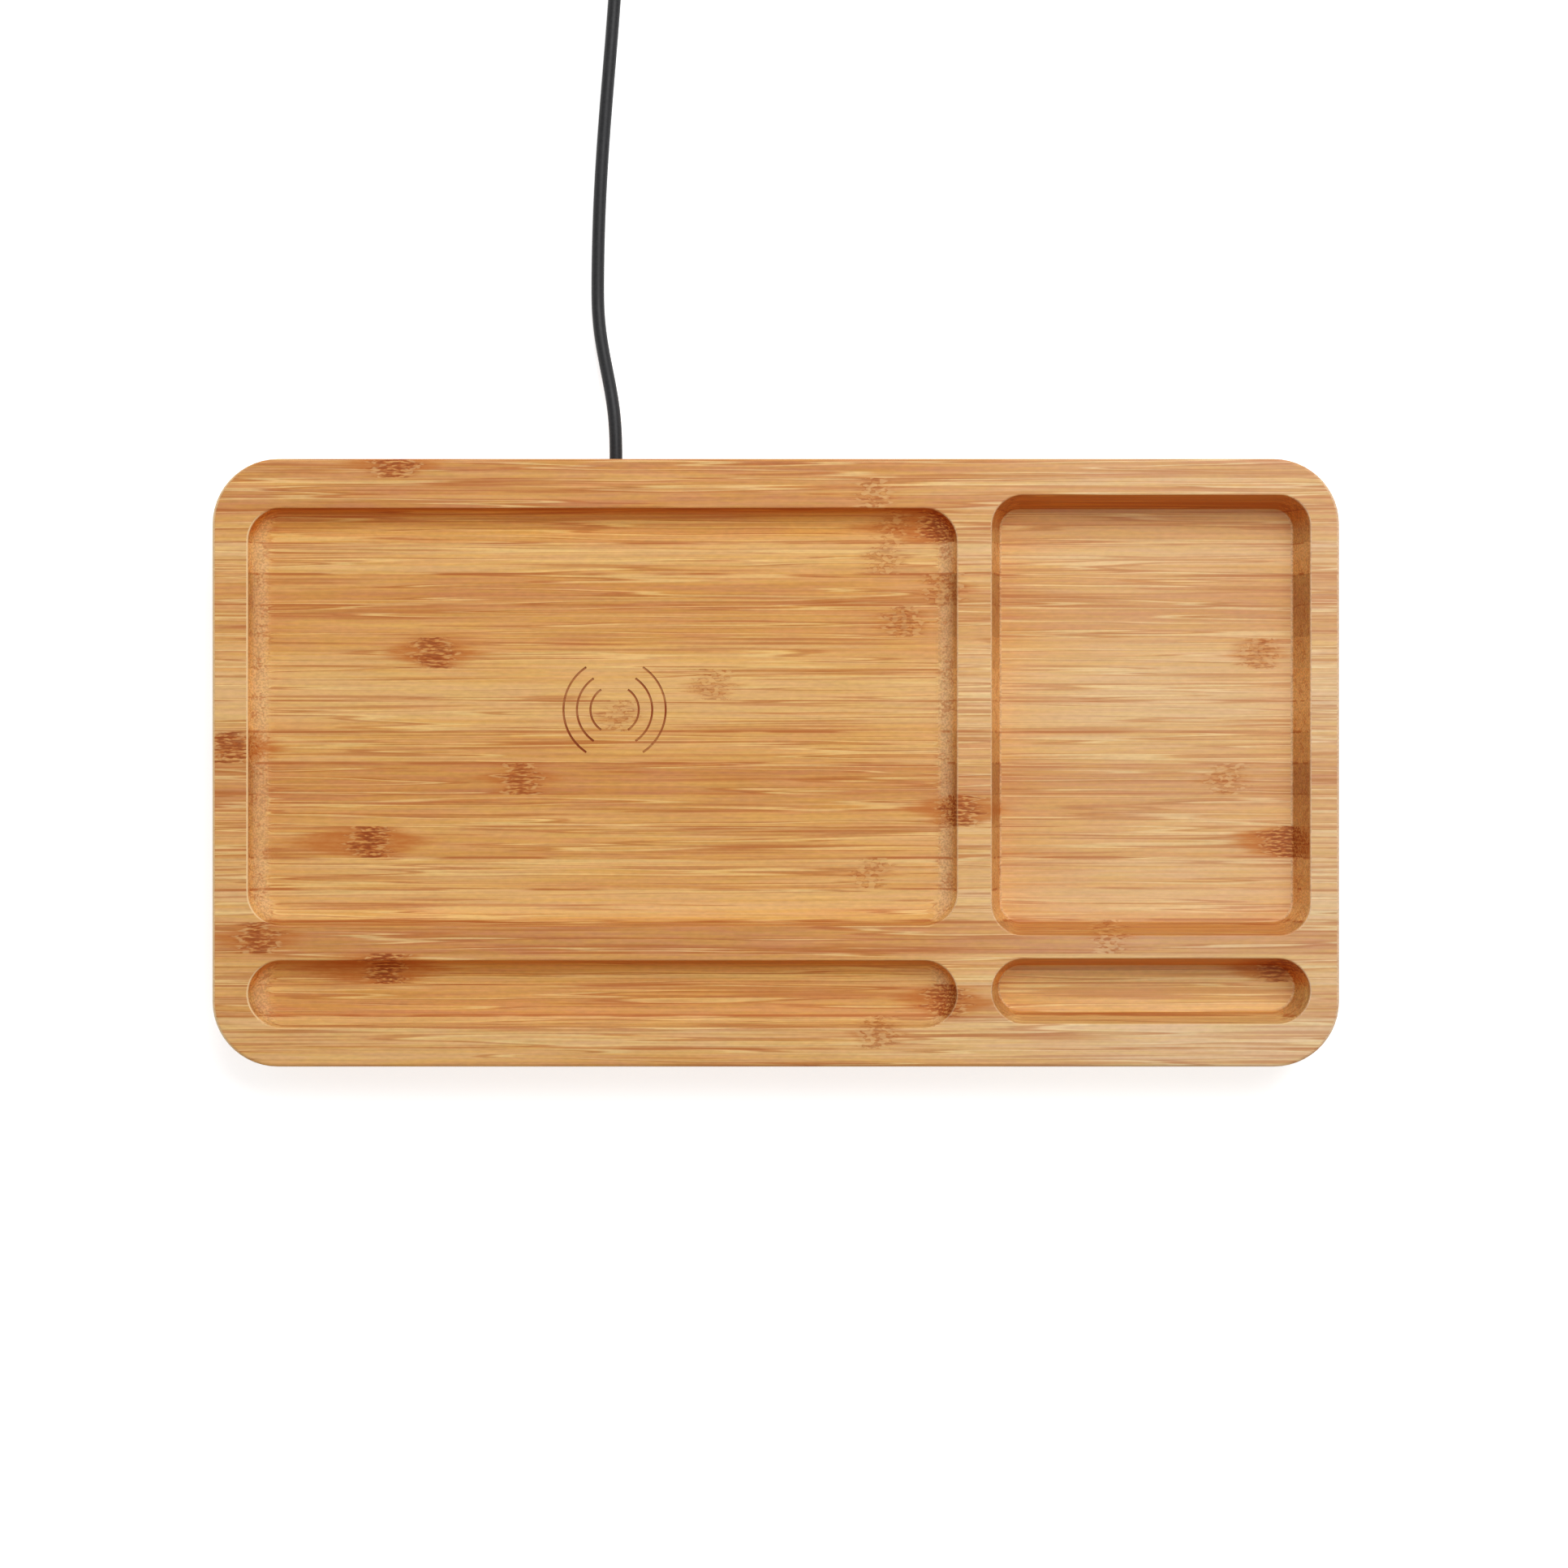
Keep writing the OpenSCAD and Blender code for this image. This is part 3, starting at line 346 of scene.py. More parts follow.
class Bamboo(Nodes):
    """The bamboo material. Each step takes the wood's colour so far and returns the next."""

    def __init__(self, looks):
        self.looks = looks
        self.material, nodes = new_material("bamboo_strips")
        super().__init__(nodes.tree)
        self.place = self.millimetres()
        self.x, self.y, self.z = self.split(self.place)
        self.normal = self.split(self.add("NewGeometry").outputs["Normal"])
        self.facing = self.math("ABSOLUTE", self.normal["X"])
        self.inside = self.times(self.within(self.x, POCKETS_X), self.within(self.y, POCKETS_Y))
        self.steep = self.times(self.spread(self.normal["Z"], 0.35, 0.93, 1.0, 0.0), self.inside)
        self.strips = self.group(strips_group(), vector=self.place, strip_width=STRIP_W, start=STRIP_START)
        self.fibres = self.group(fibres_group(), vector=self.place, index=self.strips["Index"])
        # How light the strip at a place is
        count = len(STRIP_TONES)
        tone = self.ramp(self.math("DIVIDE", self.plus(self.strips["Index"], 0.5), count),
                         [(i / count, (t, t, t, 1.0)) for i, t in enumerate(STRIP_TONES)], "CONSTANT")
        self.strip_tone = self.plus(self.swing(tone, USUAL_TONE, 1.1), USUAL_TONE)

    def strip_colour(self):
        looks, strips, fibres = self.looks, self.strips, self.fibres
        # Each strip is denser and darker towards one edge, and wanders in tone along its length
        lean = self.swing(strips["Random"], 0.5, self.minus(strips["Across"], 0.5))
        shifted = self.vector("ADD", self.place, self.join(self.times(strips["Index"], 91.0), 0.0, 0.0))
        wander = self.grain(shifted, 70.0, 12.0)
        tone = self.plus(self.strip_tone, lean)
        tone = self.plus(tone, self.swing(wander, 0.5, 0.6))
        tone = self.plus(tone, self.swing(fibres["Streaks"], 0.5, 1.9))
        wood = self.ramp(tone, [(0.0, looks.bamboo_brown), (0.35, looks.bamboo_amber),
                                (0.7, looks.bamboo_golden), (1.0, looks.bamboo_light)])
        hue = self.mix(fibres["Hue"], looks.bamboo_yellow, looks.bamboo_pink)
        return self.paint(wood, hue, 0.3)

    def fibre_lines(self, wood):
        """Veins, fibres, bundles and glue lines. On walls that face along X the fibres are dots."""
        looks, fibres = self.looks, self.fibres
        end_grain = self.spread(self.facing, 0.12, 0.5)
        long_grain = self.minus(1.0, end_grain)
        paler = self.spread(self.steep, 0.6, 1.0, 0.55, 0.15)
        wood = self.paint(wood, looks.bamboo_cut, end_grain, paler)
        for name, line in (("Pale", looks.bamboo_pale), ("Veins", looks.bamboo_bundle)):
            wood = self.paint(wood, line, fibres[name], 0.5, long_grain)
        dots = self.spread(self.grain(self.place, 0.5, 0.42, detail=1.0), 0.35, 0.65)
        fine = self.mix_value(end_grain, fibres["Fibres"], dots)
        depth = self.minus(0.66, self.times(end_grain, 0.34))
        fine = self.plus(self.minus(1.0, self.times(depth, 0.5)), self.times(fine, depth))
        wood = self.tint(wood, fine)
        wood = self.paint(wood, looks.bamboo_bundle, fibres["Bundles"], 0.5)
        broken = self.spread(self.grain(self.place, 22.0, 2.0), 0.40, 0.60)
        shown = self.spread(self.strips["Random"], 0.25, 0.6)
        return self.paint(wood, looks.bamboo_bundle, self.strips["Glue line"], shown, broken, 0.8)

    def knots(self, wood):
        """The stain tapers off along the fibres, the core has short dashes in shallow arcs."""
        looks, place, across = self.looks, self.place, self.strips["Across"]
        self.stain, core, away = 0.0, 0.0, FAR_OFF
        group = knot_group()
        ragged = self.grain(place, 14.0, 0.8)
        x = self.plus(self.x, self.swing(ragged, 0.5, 12.0))
        off_middle = self.apart(across, 0.5)
        below = self.math("LESS_THAN", self.z, BELOW_TOP_Z)
        deep_knots = [(*spot, self.times(below, dark)) for *spot, dark in DEEP_KNOTS]
        for knot_x, knot_y, dark in [*KNOTS, *deep_knots]:
            knot_index = math.floor((knot_y - STRIP_START) / STRIP_W)
            self.stain, core, away = self.group(
                group, x=x, off_middle=off_middle, index=self.strips["Index"], knot_x=knot_x,
                knot_index=knot_index, dark=dark, stain=self.stain, core=core, away=away)
        arc = self.times(self.math("POWER", away, 1.5), 0.16)
        swirl = self.times(self.grain(place, 3.2, 1.4), 9.0)
        rows = self.math("SINE", self.plus(self.plus(self.times(across, 50.0), arc), swirl))
        dashes = self.plus(self.grain(place, 1.5, 0.34, detail=1.0), self.times(rows, 0.12))
        grown = self.times(self.minus(0.5, self.fibres["Streaks"]), self.spread(self.stain, 0.0, 0.2))
        self.stain = self.spread(self.plus(self.stain, grown), 0.05, 0.75)
        self.flecks = self.times(core, self.spread(dashes, 0.46, 0.60))
        light_flecks = self.times(core, self.spread(dashes, 0.42, 0.33))
        soaked = self.spread(self.fibres["Fibres"], 0.35, 0.65, 1.0, 0.7)
        wood = self.paint(wood, self.mix(core, looks.knot_stain, looks.knot_deep), self.stain, soaked)
        wood = self.paint(wood, looks.knot_core, self.flecks, 0.7)
        wood = self.paint(wood, looks.bamboo_golden, light_flecks, 0.75)
        # Faint knots are pale eyes with dark edges
        faint = self.times(self.spread(core, 0.12, 0.34), self.spread(core, 0.45, 0.65, 1.0, 0.0))
        eyes = self.grain(place, 1.5, 0.9, detail=1.0)
        edges = self.spread(self.apart(eyes, 0.47), 0.0, 0.035, 1.0, 0.0)
        wood = self.paint(wood, looks.bamboo_light, faint, self.spread(eyes, 0.44, 0.60), 0.45)
        return self.paint(wood, looks.knot_deep, faint, edges, 0.45)

    def mark(self, wood):
        """The charging mark is burnt into the floor of the phone pocket, not quite evenly."""
        burnt = self.group(mark_group(), vector=self.place, radius=MARK_R, step=MARK_STEP)["Mask"]
        on_floor = self.math("COMPARE", self.z, PHONE_FLOOR_Z, 0.2)
        scorch = self.spread(self.noise(self.place, scale=0.12, detail=3.0), 0.35, 0.6, 0.6, 1.0)
        return self.paint(wood, self.looks.burnt, burnt, on_floor, scorch)

    def cut_walls(self, wood):
        """Painted shade darkens the pocket walls, most the rear ones that face away from the lamp, and a
        painted highlight lightens the rims.
        """
        looks, steep = self.looks, self.steep
        # Painted shade: walls facing the front, away from the lamp, get the dark rear tint, the others a
        # slight one
        less_shaded = self.math("MAXIMUM", self.spread(self.normal["Y"], -0.5, 0.2),
                           self.spread(self.y, -42.0, -30.0, 0.22, 0.0))
        wall_shade = self.mix(less_shaded, looks.rear_wall_shade, looks.wall_shade)
        # On the walls across the strips, the strips differ more
        cut = self.swing(self.math("MAXIMUM", self.strip_tone, 0.3), USUAL_TONE, 0.5)
        cut = self.plus(1.0, self.times(cut, self.spread(self.facing, 0.3, 0.95)))
        wood = self.tint(wood, self.tint(wall_shade, cut), steep)
        # Painted shade: the rear sides of the pockets get a deeper amber, but not the walls of the right ones
        rear_shade = self.math("MAXIMUM", self.spread(self.y, 45.0, 52.0), self.times(
            self.spread(self.y, -50.0, -43.0), self.math("LESS_THAN", self.y, -35.0)))
        rear_shade = self.times(rear_shade, self.math("LESS_THAN", self.z, BELOW_TOP_Z - 0.1))
        share = self.mix_value(self.math("GREATER_THAN", self.x, RIGHT_POCKETS_X), 1.0,
                               self.spread(steep, 0.0, 1.0, 0.7, 0.0))
        wood = self.tint(wood, REAR_SHADE_TINT, rear_shade, share, self.inside)
        # Painted highlight: pale lines along the rims of walls that face along X, strongest on the left
        return self.paint(wood, looks.rim_highlight, self.spread(self.facing, 0.25, 0.6),
                          self.spread(self.z, 18.3, 18.9), self.spread(self.x, -60.0, -20.0, 0.85, 0.3))

    def sanding_and_light(self, wood):
        """The top is sanded drier than the pockets; painted light makes the right end paler and the slot
        lighter.
        """
        wood = self.tint(wood, SANDED, self.spread(self.z, 18.9, 19.15),
                         self.spread(self.normal["Z"], 0.5, 0.95))
        # Painted light: the right end, nearer the lamp, is painted paler, less on the walls and the knots'
        # stains
        lit_right = self.paint(self.tint(wood, RIGHT_END_LIGHT), self.looks.bamboo_lit_right, 0.2)
        wood = self.paint(wood, lit_right, self.spread(self.x, 10.0, 85.0), self.minus(1.0, self.steep),
                          self.spread(self.stain, 0.0, 1.0, 1.0, 0.3))
        # Painted light: the deep slot is painted lighter, its front walls less
        return self.tint(wood, SLOT_LIGHT_TINT, self.math("GREATER_THAN", self.x, RIGHT_POCKETS_X),
                         self.within(self.minus(self.y, SLOT_Y), SLOT_REACH_Y), self.inside,
                         self.math("LESS_THAN", self.z, SLOT_RIM_Z),
                         self.spread(self.normal["Y"], 0.1, 0.5, 1.0, 0.3))

    def build(self):
        fibres = self.fibres
        wood = self.strip_colour()
        for step in (self.fibre_lines, self.knots, self.mark, self.cut_walls, self.sanding_and_light):
            wood = step(wood)
        height = self.plus(self.times(fibres["Fibres"], 0.6),
                           self.times(self.plus(fibres["Bundles"], self.flecks), -0.5))
        principled(self, Base_Color=wood, Normal=bump(self, height, 0.00004, 0.5), Specular_IOR_Level=0.14,
                   Roughness=self.spread(fibres["Fibres"], 0.2, 0.8, 0.46, 0.58))
        return self.material


# -------- other finishes

def speckle_group():
    """Two colours in a fine speckle, with its mask and a roughness."""
    tree, nodes, given, result = node_group(
        "Speckle", ("Vector", "First", "Second", "Size", "Rough", "Rough spread"),
        ("Colour", "Mask", "Rough"))
    scaled = nodes.vector("DIVIDE", given["Vector"], given["Size"])
    fine = nodes.noise(scaled, detail=3.0, roughness=0.6)
    broad = nodes.noise(scaled, scale=0.12)
    mask = nodes.spread(nodes.plus(nodes.times(fine, 0.7), nodes.times(broad, 0.3)), 0.38, 0.62)
    nodes.fill(result, mask=mask, colour=nodes.mix(mask, given["First"], given["Second"]),
               rough=nodes.plus(given["Rough"], nodes.swing(mask, 0.5, given["Rough spread"])))
    return tree


def speckled(name, first, second, size, rough, relief=0.0, spread=0.12, **inputs):
    """A moulded, cast or plated finish: two close colours, uneven gloss and a fine relief.

    A colour is one of the looks or three sRGB numbers. The size and the relief are in millimetres.
    """
    first, second = (colour(*tone) if len(tone) == 3 else tone for tone in (first, second))
    material, nodes = new_material(name)
    tree = bpy.data.node_groups.get("Speckle") or speckle_group()
    speckle = nodes.group(tree, vector=nodes.millimetres(), size=size, first=first, second=second,
                          rough=rough, rough_spread=spread)
    if relief:
        inputs["Normal"] = bump(nodes, speckle["Mask"], relief * MM, 0.6)
    principled(nodes, Base_Color=speckle["Colour"], Roughness=speckle["Rough"], **inputs)
    return material


def dress(material, *nodes):
    """Gives kept CAD nodes their procedural material."""
    for node in nodes:
        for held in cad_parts[node].material_slots:
            held.material = material


# -------- helpers: pieces

# How much of its way a bend keeps to the axis at each end
EASE_SHARE = 0.4
TURN_POINTS = 24


def add_object(name, data):
    """A new object of the data, linked to the scene."""
    added = bpy.data.objects.new(name, data)
    bpy.context.scene.collection.objects.link(added)
    return added


def add_piece(name, data, material, slot, *nodes):
    """Adds a piece with its material, and lets it stand for CAD nodes. The slot is not used."""
    data.name = name
    data.materials.append(material)
    piece = add_object(name, data)
    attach(piece, "root")
    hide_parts(*nodes)
    return piece


def round_curve(points, diameter, smooth=3):
    """One open round curve through points in metres."""
    curve = bpy.data.curves.new("curve", "CURVE")
    curve.dimensions = "3D"
    curve.bevel_depth = diameter / 2
    curve.bevel_resolution = 4
    curve.use_fill_caps = True
    spline = curve.splines.new("NURBS")
    spline.points.add(len(points) - 1)
    for point, place in zip(spline.points, points):
        point.co = (*place, 1.0)
    spline.order_u = 4
    spline.use_endpoint_u = spline.use_smooth = True
    curve.resolution_u = curve.render_resolution_u = smooth
    return curve


def bezier(a, b, c, d, steps):
    """Points of one cubic bend from a to d, both ends included."""
    a, b, c, d = map(Vector, (a, b, c, d))
    return [(1 - t) ** 3 * a + 3 * (1 - t) ** 2 * t * b + 3 * (1 - t) * t * t * c + t ** 3 * d
            for t in (i / steps for i in range(steps + 1))]


def ease(a, b, axis, steps):
    """A bend that leaves a and arrives at b along the same axis, without its first point."""
    axis = Vector(axis)
    pull = axis * abs((b - a).dot(axis)) * EASE_SHARE
    return bezier(a, a + pull, b - pull, b, steps)[1:]


def circle_point(centre, radius, degrees):
    """A point of a level circle."""
    angle = math.radians(degrees)
    return Vector(centre) + Vector((radius * math.cos(angle), radius * math.sin(angle), 0))


def turns(count):
    """The points of a coil with so many turns, counted in turns."""
    return [i / TURN_POINTS for i in range(int(TURN_POINTS * count) + 1)]


# -------- lead

# The lead leaves the grommet at EXIT, starts to fall at FALL and lies on the floor from REST
LEAD_D = 2.8 * MM
EXIT = Vector((-34.7, 65.0, 7.2)) * MM
FALL = EXIT + Vector((0.0, 3.5, 0.0)) * MM
REST = Vector((-39.0, 102.5, 1.45)) * MM
# Stored loops, with the turns of the inward spiral and of both
LOOPS_CENTRE = Vector((-10.0, 200.0, 1.975)) * MM
LOOPS_PITCH = 3.4 * MM
LOOPS_INNER_R = 9.6 * MM
LOOPS_LAYER = 3.3 * MM
LOOPS_TURNS_IN = 4.25
LOOPS_TURNS = 8.25
PLUG_START = Vector((14.0, 223.2, 3.8)) * MM


def loop_point(turn):
    """A point of the stored loops, that spiral in on the lower layer and out on the upper one."""
    radius = LOOPS_INNER_R + LOOPS_PITCH * abs(turn - LOOPS_TURNS_IN)
    climb = min(1.0, max(0.0, (turn - LOOPS_TURNS_IN) * 2 + 0.5))
    return circle_point(LOOPS_CENTRE, radius, 180 - 360 * turn) + Vector((0, 0, LOOPS_LAYER * climb))


def lead_route():
    """From the grommet down to the floor, to the loops, round them and up to the plug."""
    loops = [loop_point(turn) for turn in turns(LOOPS_TURNS)]
    return ([EXIT, FALL] + ease(FALL, REST, (0, 1, 0), 9) + ease(REST, loops[0], (0, 1, 0), 12)
            + loops[1:] + ease(loops[-1], PLUG_START, (1, 0, 0), 6))


class TRAY_OT_lay_lead(Operator):
    """Lays the lead from the grommet to the stored loops and on to the plug"""
    bl_idname = "tray.lay_lead"
    bl_label = "Lay lead"

    def execute(self, context):
        looks = context.scene.tray_looks
        jacket = speckled("lead_jacket", looks.jacket, (32, 32, 34), 0.5, 0.46, 0.01, Specular_IOR_Level=0.28)
        cord = add_piece("lead_cord", round_curve(lead_route(), LEAD_D), jacket,
                         "lead_jacket", "lead", "lead_coil", "lead_tail")
        return {"FINISHED"}


class TRAY_OT_dress_board(Operator):
    """Gives the bamboo board its glued strips, fibres, knots and burnt charging mark"""
    bl_idname = "tray.dress_board"
    bl_label = "Dress board"

    def execute(self, context):
        dress(Bamboo(context.scene.tray_looks).build(), "bamboo_tray")
        return {"FINISHED"}


# -------- helpers: meshes

def finish_mesh(shape, smooth_angle=35.0):
    """Merges, turns the faces outwards, marks the hard edges and makes the mesh, from millimetres."""
    bmesh.ops.remove_doubles(shape, verts=shape.verts, dist=0.001)
    bmesh.ops.recalc_face_normals(shape, faces=shape.faces)
    bmesh.ops.scale(shape, vec=(MM,) * 3, verts=shape.verts)
    mesh = bpy.data.meshes.new("mesh")
    shape.to_mesh(mesh)
    shape.free()
    mesh.polygons.foreach_set("use_smooth", [True] * len(mesh.polygons))
    mesh.set_sharp_from_angle(angle=math.radians(smooth_angle))
    return mesh


def along_axis(shape, axis, verts=None):
    """Edges that run along an axis."""
    axis = Vector(axis)
    chosen = set(verts or shape.verts)
    return [e for e in shape.edges if chosen.issuperset(e.verts)
            and abs((e.verts[0].co - e.verts[1].co).normalized().dot(axis)) > 0.99]


def bevel(shape, edges, radius, segments):
    bmesh.ops.bevel(shape, geom=edges, offset=radius, offset_type="OFFSET", segments=segments,
                    profile=0.5, affect="EDGES", material=-1, clamp_overlap=True)


def block(shape, centre, size, long_axis, radius, segments, edge=0.0):
    """Adds a box with rounded long edges and eased rims."""
    before = set(shape.verts)
    verts = bmesh.ops.create_cube(shape, size=1.0)["verts"]
    bmesh.ops.scale(shape, vec=size, verts=verts)
    bmesh.ops.translate(shape, vec=centre, verts=verts)
    bevel(shape, along_axis(shape, long_axis, verts), radius, segments)
    if edge:
        hard = [e for e in shape.edges if before.isdisjoint(e.verts)
                and len(e.link_faces) == 2 and e.calc_face_angle() > math.radians(50)]
        bevel(shape, hard, edge, 2)


def lathe(shape, profile, centre, axis, side, steps):
    """Turns a profile of (along, radius) about an axis."""
    centre, axis, side = map(Vector, (centre, axis, side))
    verts = [shape.verts.new(centre + axis * along + side * radius) for along, radius in profile]
    edges = [shape.edges.new(pair) for pair in zip(verts, verts[1:])]
    bmesh.ops.spin(shape, geom=verts + edges, cent=centre, axis=axis, angle=math.tau,
                   steps=steps, use_merge=True)


# -------- tie and plug, in millimetres as in the CAD

TIE_T = 0.5
TIE_W = 6.0
TIE_CORNER_R = 1.2
TIE_ANGLE = math.radians(120)
TIE_OUTER_R = 25.033
TIE_INNER_R = 7.581
BUNDLE_H = 6.25


def strap_material(looks):
    """A coarse weave with a little fuzz, turned as the strap is."""
    material, nodes = new_material("tie_weave")
    place = nodes.add("Mapping", {"Vector": nodes.millimetres(), "Rotation": (0, 0, -TIE_ANGLE)}).outputs[0]
    xyz = nodes.split(place)
    ribs = nodes.math("SINE", nodes.times(nodes.plus(xyz["X"], xyz["Z"]), 9.0))
    rows = nodes.math("SINE", nodes.times(xyz["Y"], 10.5))
    weave = nodes.spread(nodes.times(ribs, rows), -0.6, 0.6)
    fuzz = nodes.noise(place, scale=3.0, detail=3.0)
    tone = nodes.mix(nodes.times(weave, fuzz), looks.strap, colour(62, 62, 66))
    principled(nodes, Base_Color=tone, Normal=bump(nodes, weave, 0.00008, 0.8), Sheen_Weight=0.3,
               Roughness=nodes.spread(fuzz, 0.3, 0.7, 0.78, 0.92))
    return material


class TRAY_OT_add_tie(Operator):
    """Adds the woven strap, with its overlap, round the stored loops"""
    bl_idname = "tray.add_tie"
    bl_label = "Add tie"

    def execute(self, context):
        length = TIE_OUTER_R - TIE_INNER_R + 2 * TIE_T
        height = BUNDLE_H + 2 * TIE_T
        shape = bmesh.new()
        # The band: a rounded sleeve without its ends
        block(shape, (0, 0, 0), (length, TIE_W, height), (0, 1, 0), TIE_CORNER_R, 5)
        ends = [f for f in shape.faces if abs(f.normal.y) > 0.9]
        bmesh.ops.delete(shape, geom=ends, context="FACES")
        bmesh.ops.subdivide_edges(shape, edges=along_axis(shape, (0, 1, 0)), cuts=2)
        bmesh.ops.solidify(shape, geom=shape.faces[:], thickness=TIE_T)
        # The overlap on top, with a hemmed end and a pull tab
        block(shape, (1.5, 0, height / 2 + 0.2), (11.0, TIE_W - 0.4, 0.45), (0, 0, 1), TIE_CORNER_R, 4, 0.12)
        block(shape, (-3.2, 0, height / 2 + 0.5), (1.2, TIE_W - 1.2, 0.3), (0, 1, 0), 0.1, 2)
        middle = (TIE_OUTER_R + TIE_INNER_R) / 2
        turn = Matrix.Rotation(TIE_ANGLE, 3, "Z")
        bmesh.ops.rotate(shape, cent=(0, 0, 0), matrix=turn, verts=shape.verts)
        centre = LOOPS_CENTRE / MM + turn @ Vector((middle, 0, 0))
        bmesh.ops.translate(shape, vec=(centre.x, centre.y, TIE_T + BUNDLE_H / 2), verts=shape.verts)
        add_piece("tie_strap", finish_mesh(shape), strap_material(context.scene.tray_looks),
                  "tie_strap", "cable_tie")
        return {"FINISHED"}


TAPER_L = 14.0
GRIP_L = 24.0
GRIP_W = 15.6
GRIP_T = 7.6
GRIP_WAIST = 0.7
GRIP_CORNER_R = 2.6
# Finger grooves across the grip, in shares of its length
GROOVE_DEPTH = 0.3
GROOVES = [0.36 + index * 0.075 for index in range(5)]
GROOVE_SIDES = [groove + side * 0.02 for groove in GROOVES for side in (-1, 1)]
# Ribs of the taper
RIBS = 5
RIB_PITCH = 2.4
RIB_H = 0.38


class TRAY_OT_add_plug(Operator):
    """Adds the plug's waisted grip with its finger grooves and ribbed taper, and dresses the rest"""
    bl_idname = "tray.add_plug"
    bl_label = "Add plug"

    def execute(self, context):
        looks = context.scene.tray_looks
        start = PLUG_START / MM
        grip_x = start.x + TAPER_L
        shape = bmesh.new()
        block(shape, (grip_x + GRIP_L / 2, start.y, start.z), (GRIP_L, GRIP_W, GRIP_T), (1, 0, 0),
              GRIP_CORNER_R, 6)
        # Stations along the grip, pulled in at the waist and at the finger grooves
        for share in [0.1, 0.2, 0.29, *GROOVES, *GROOVE_SIDES, 0.75, 0.84, 0.92]:
            bmesh.ops.bisect_plane(shape, geom=shape.verts[:] + shape.edges[:] + shape.faces[:],
                                   plane_co=(grip_x + share * GRIP_L, 0, 0), plane_no=(1, 0, 0))
        for vert in shape.verts:
            share = (vert.co.x - grip_x) / GRIP_L
            depth = GROOVE_DEPTH if any(abs(share - groove) < 0.005 for groove in GROOVES) else 0.0
            pull = depth + GRIP_WAIST * max(0.0, math.sin(math.pi * share)) ** 2
            vert.co.y = start.y + (vert.co.y - start.y) * (1 - pull * 2 / GRIP_W)
            vert.co.z = start.z + (vert.co.z - start.z) * (1 - depth * 2 / GRIP_T)
        rims = [e for e in shape.edges if e.calc_face_angle(0.0) > math.radians(60)]
        bevel(shape, rims, 0.7, 3)
        # The front is let in a little round the shell
        front = max(shape.faces, key=lambda f: f.calc_center_median().x)
        bmesh.ops.inset_individual(shape, faces=[front], thickness=0.55, depth=-0.35)
        # Ribbed taper that the lead enters
        profile = [(0.0, 0.0), (0.0, LEAD_D / MM / 2 + 0.45), (0.4, 2.15)]
        for index in range(RIBS):
            place, radius = 1.6 + index * RIB_PITCH, 2.2 + index * 0.22
            profile += [(place, radius), (place + 0.25, radius - RIB_H), (place + 0.95, radius - RIB_H),
                        (place + 1.2, radius + 0.1)]
        profile += [(TAPER_L - 0.6, 3.3), (TAPER_L + 0.4, 3.3), (TAPER_L + 0.4, 0.0)]
        lathe(shape, profile, start, (1, 0, 0), (0, 0, 1), 40)
        grip = speckled("plug_grip", looks.jacket, (36, 36, 39), 0.35, 0.52, 0.02, Specular_IOR_Level=0.3)
        add_piece("plug_grip", finish_mesh(shape, 28.0), grip, "plug_grip", "plug_body")
        dress(speckled("shell_plating", (200, 202, 206), (190, 192, 197), 2.4, 0.2, spread=0.06,
                       Metallic=1.0), "plug_shell")
        dress(speckled("contact_plating", (222, 178, 92), (204, 160, 78), 0.3, 0.24, Metallic=1.0),
              "plug_contacts")
        dress(speckled("tongue_plastic", (236, 236, 232), (226, 226, 222), 0.4, 0.4), "plug_tongue")
        return {"FINISHED"}


# -------- underside and charger, in millimetres as in the CAD

COIL_CENTRE = Vector((-34.7, 11.4, 10.525))
LITZ_D = 1.05
LITZ_PITCH = 1.5
LITZ_INNER_R = 10.5
LITZ_TURNS = 8.125
FERRITE_R = 24.4125
TAIL_PAD_X = -2.9
PAD_TOP_Z = 7.05
TAIL_Z = 9.0025
FOAM_R = 23.2125
FOAM_LOW_Z = 6.0
FOAM_HIGH_Z = 8.5
FOAM_EDGE = 0.35
FOAM_BULGE = 0.1
CORE_D = 1.1
LANE_Y = 40.0125
JACKET_END_X = -13.2
CORE_PAD_X = 2.6
CORE_PAD_Y = 34.6
CORE_PAD_STEP = 3.3
BEND_R = 6.0


def litz_route():
    """The transmitter coil: board pad, tail under the turns, spiral out, outer tail, board pad."""
    x, y, z = COIL_CENTRE
    pad, inner = TAIL_PAD_X, LITZ_INNER_R
    turn_r = inner * (math.sqrt(2) - 1)
    outer_y = y - inner - LITZ_PITCH * LITZ_TURNS
    tail_bend = 1.5 * LITZ_D
    route = [(pad, y, PAD_TOP_Z), (pad, y, PAD_TOP_Z + LITZ_D / 2)]
    route += bezier((pad, y, TAIL_Z - tail_bend / 2), (pad, y, TAIL_Z), (pad, y, TAIL_Z),
                    (pad - tail_bend, y, TAIL_Z), 4)
    route += [(x + FERRITE_R, y, TAIL_Z)]
    route += bezier((x + inner * 0.62, y, TAIL_Z), (x + inner / 4, y, TAIL_Z), (x, y, z),
                    (x - turn_r, y, z), 6)
    route += [circle_point(COIL_CENTRE - Vector((turn_r, turn_r, 0)), turn_r, a) for a in range(105, 211, 15)]
    route += [circle_point(COIL_CENTRE, inner + LITZ_PITCH * turn, 225 + 360 * turn)
              for turn in turns(LITZ_TURNS)]
    route += [(x + FERRITE_R / 2, outer_y, z)]
    route += bezier((x + FERRITE_R * 0.8, outer_y, z), (pad - 3 * tail_bend, outer_y, z),
                    (pad, outer_y, z), (pad, outer_y, PAD_TOP_Z + LITZ_D), 6)
    route += [(pad, outer_y, PAD_TOP_Z)]
    return [Vector(p) * MM for p in route]


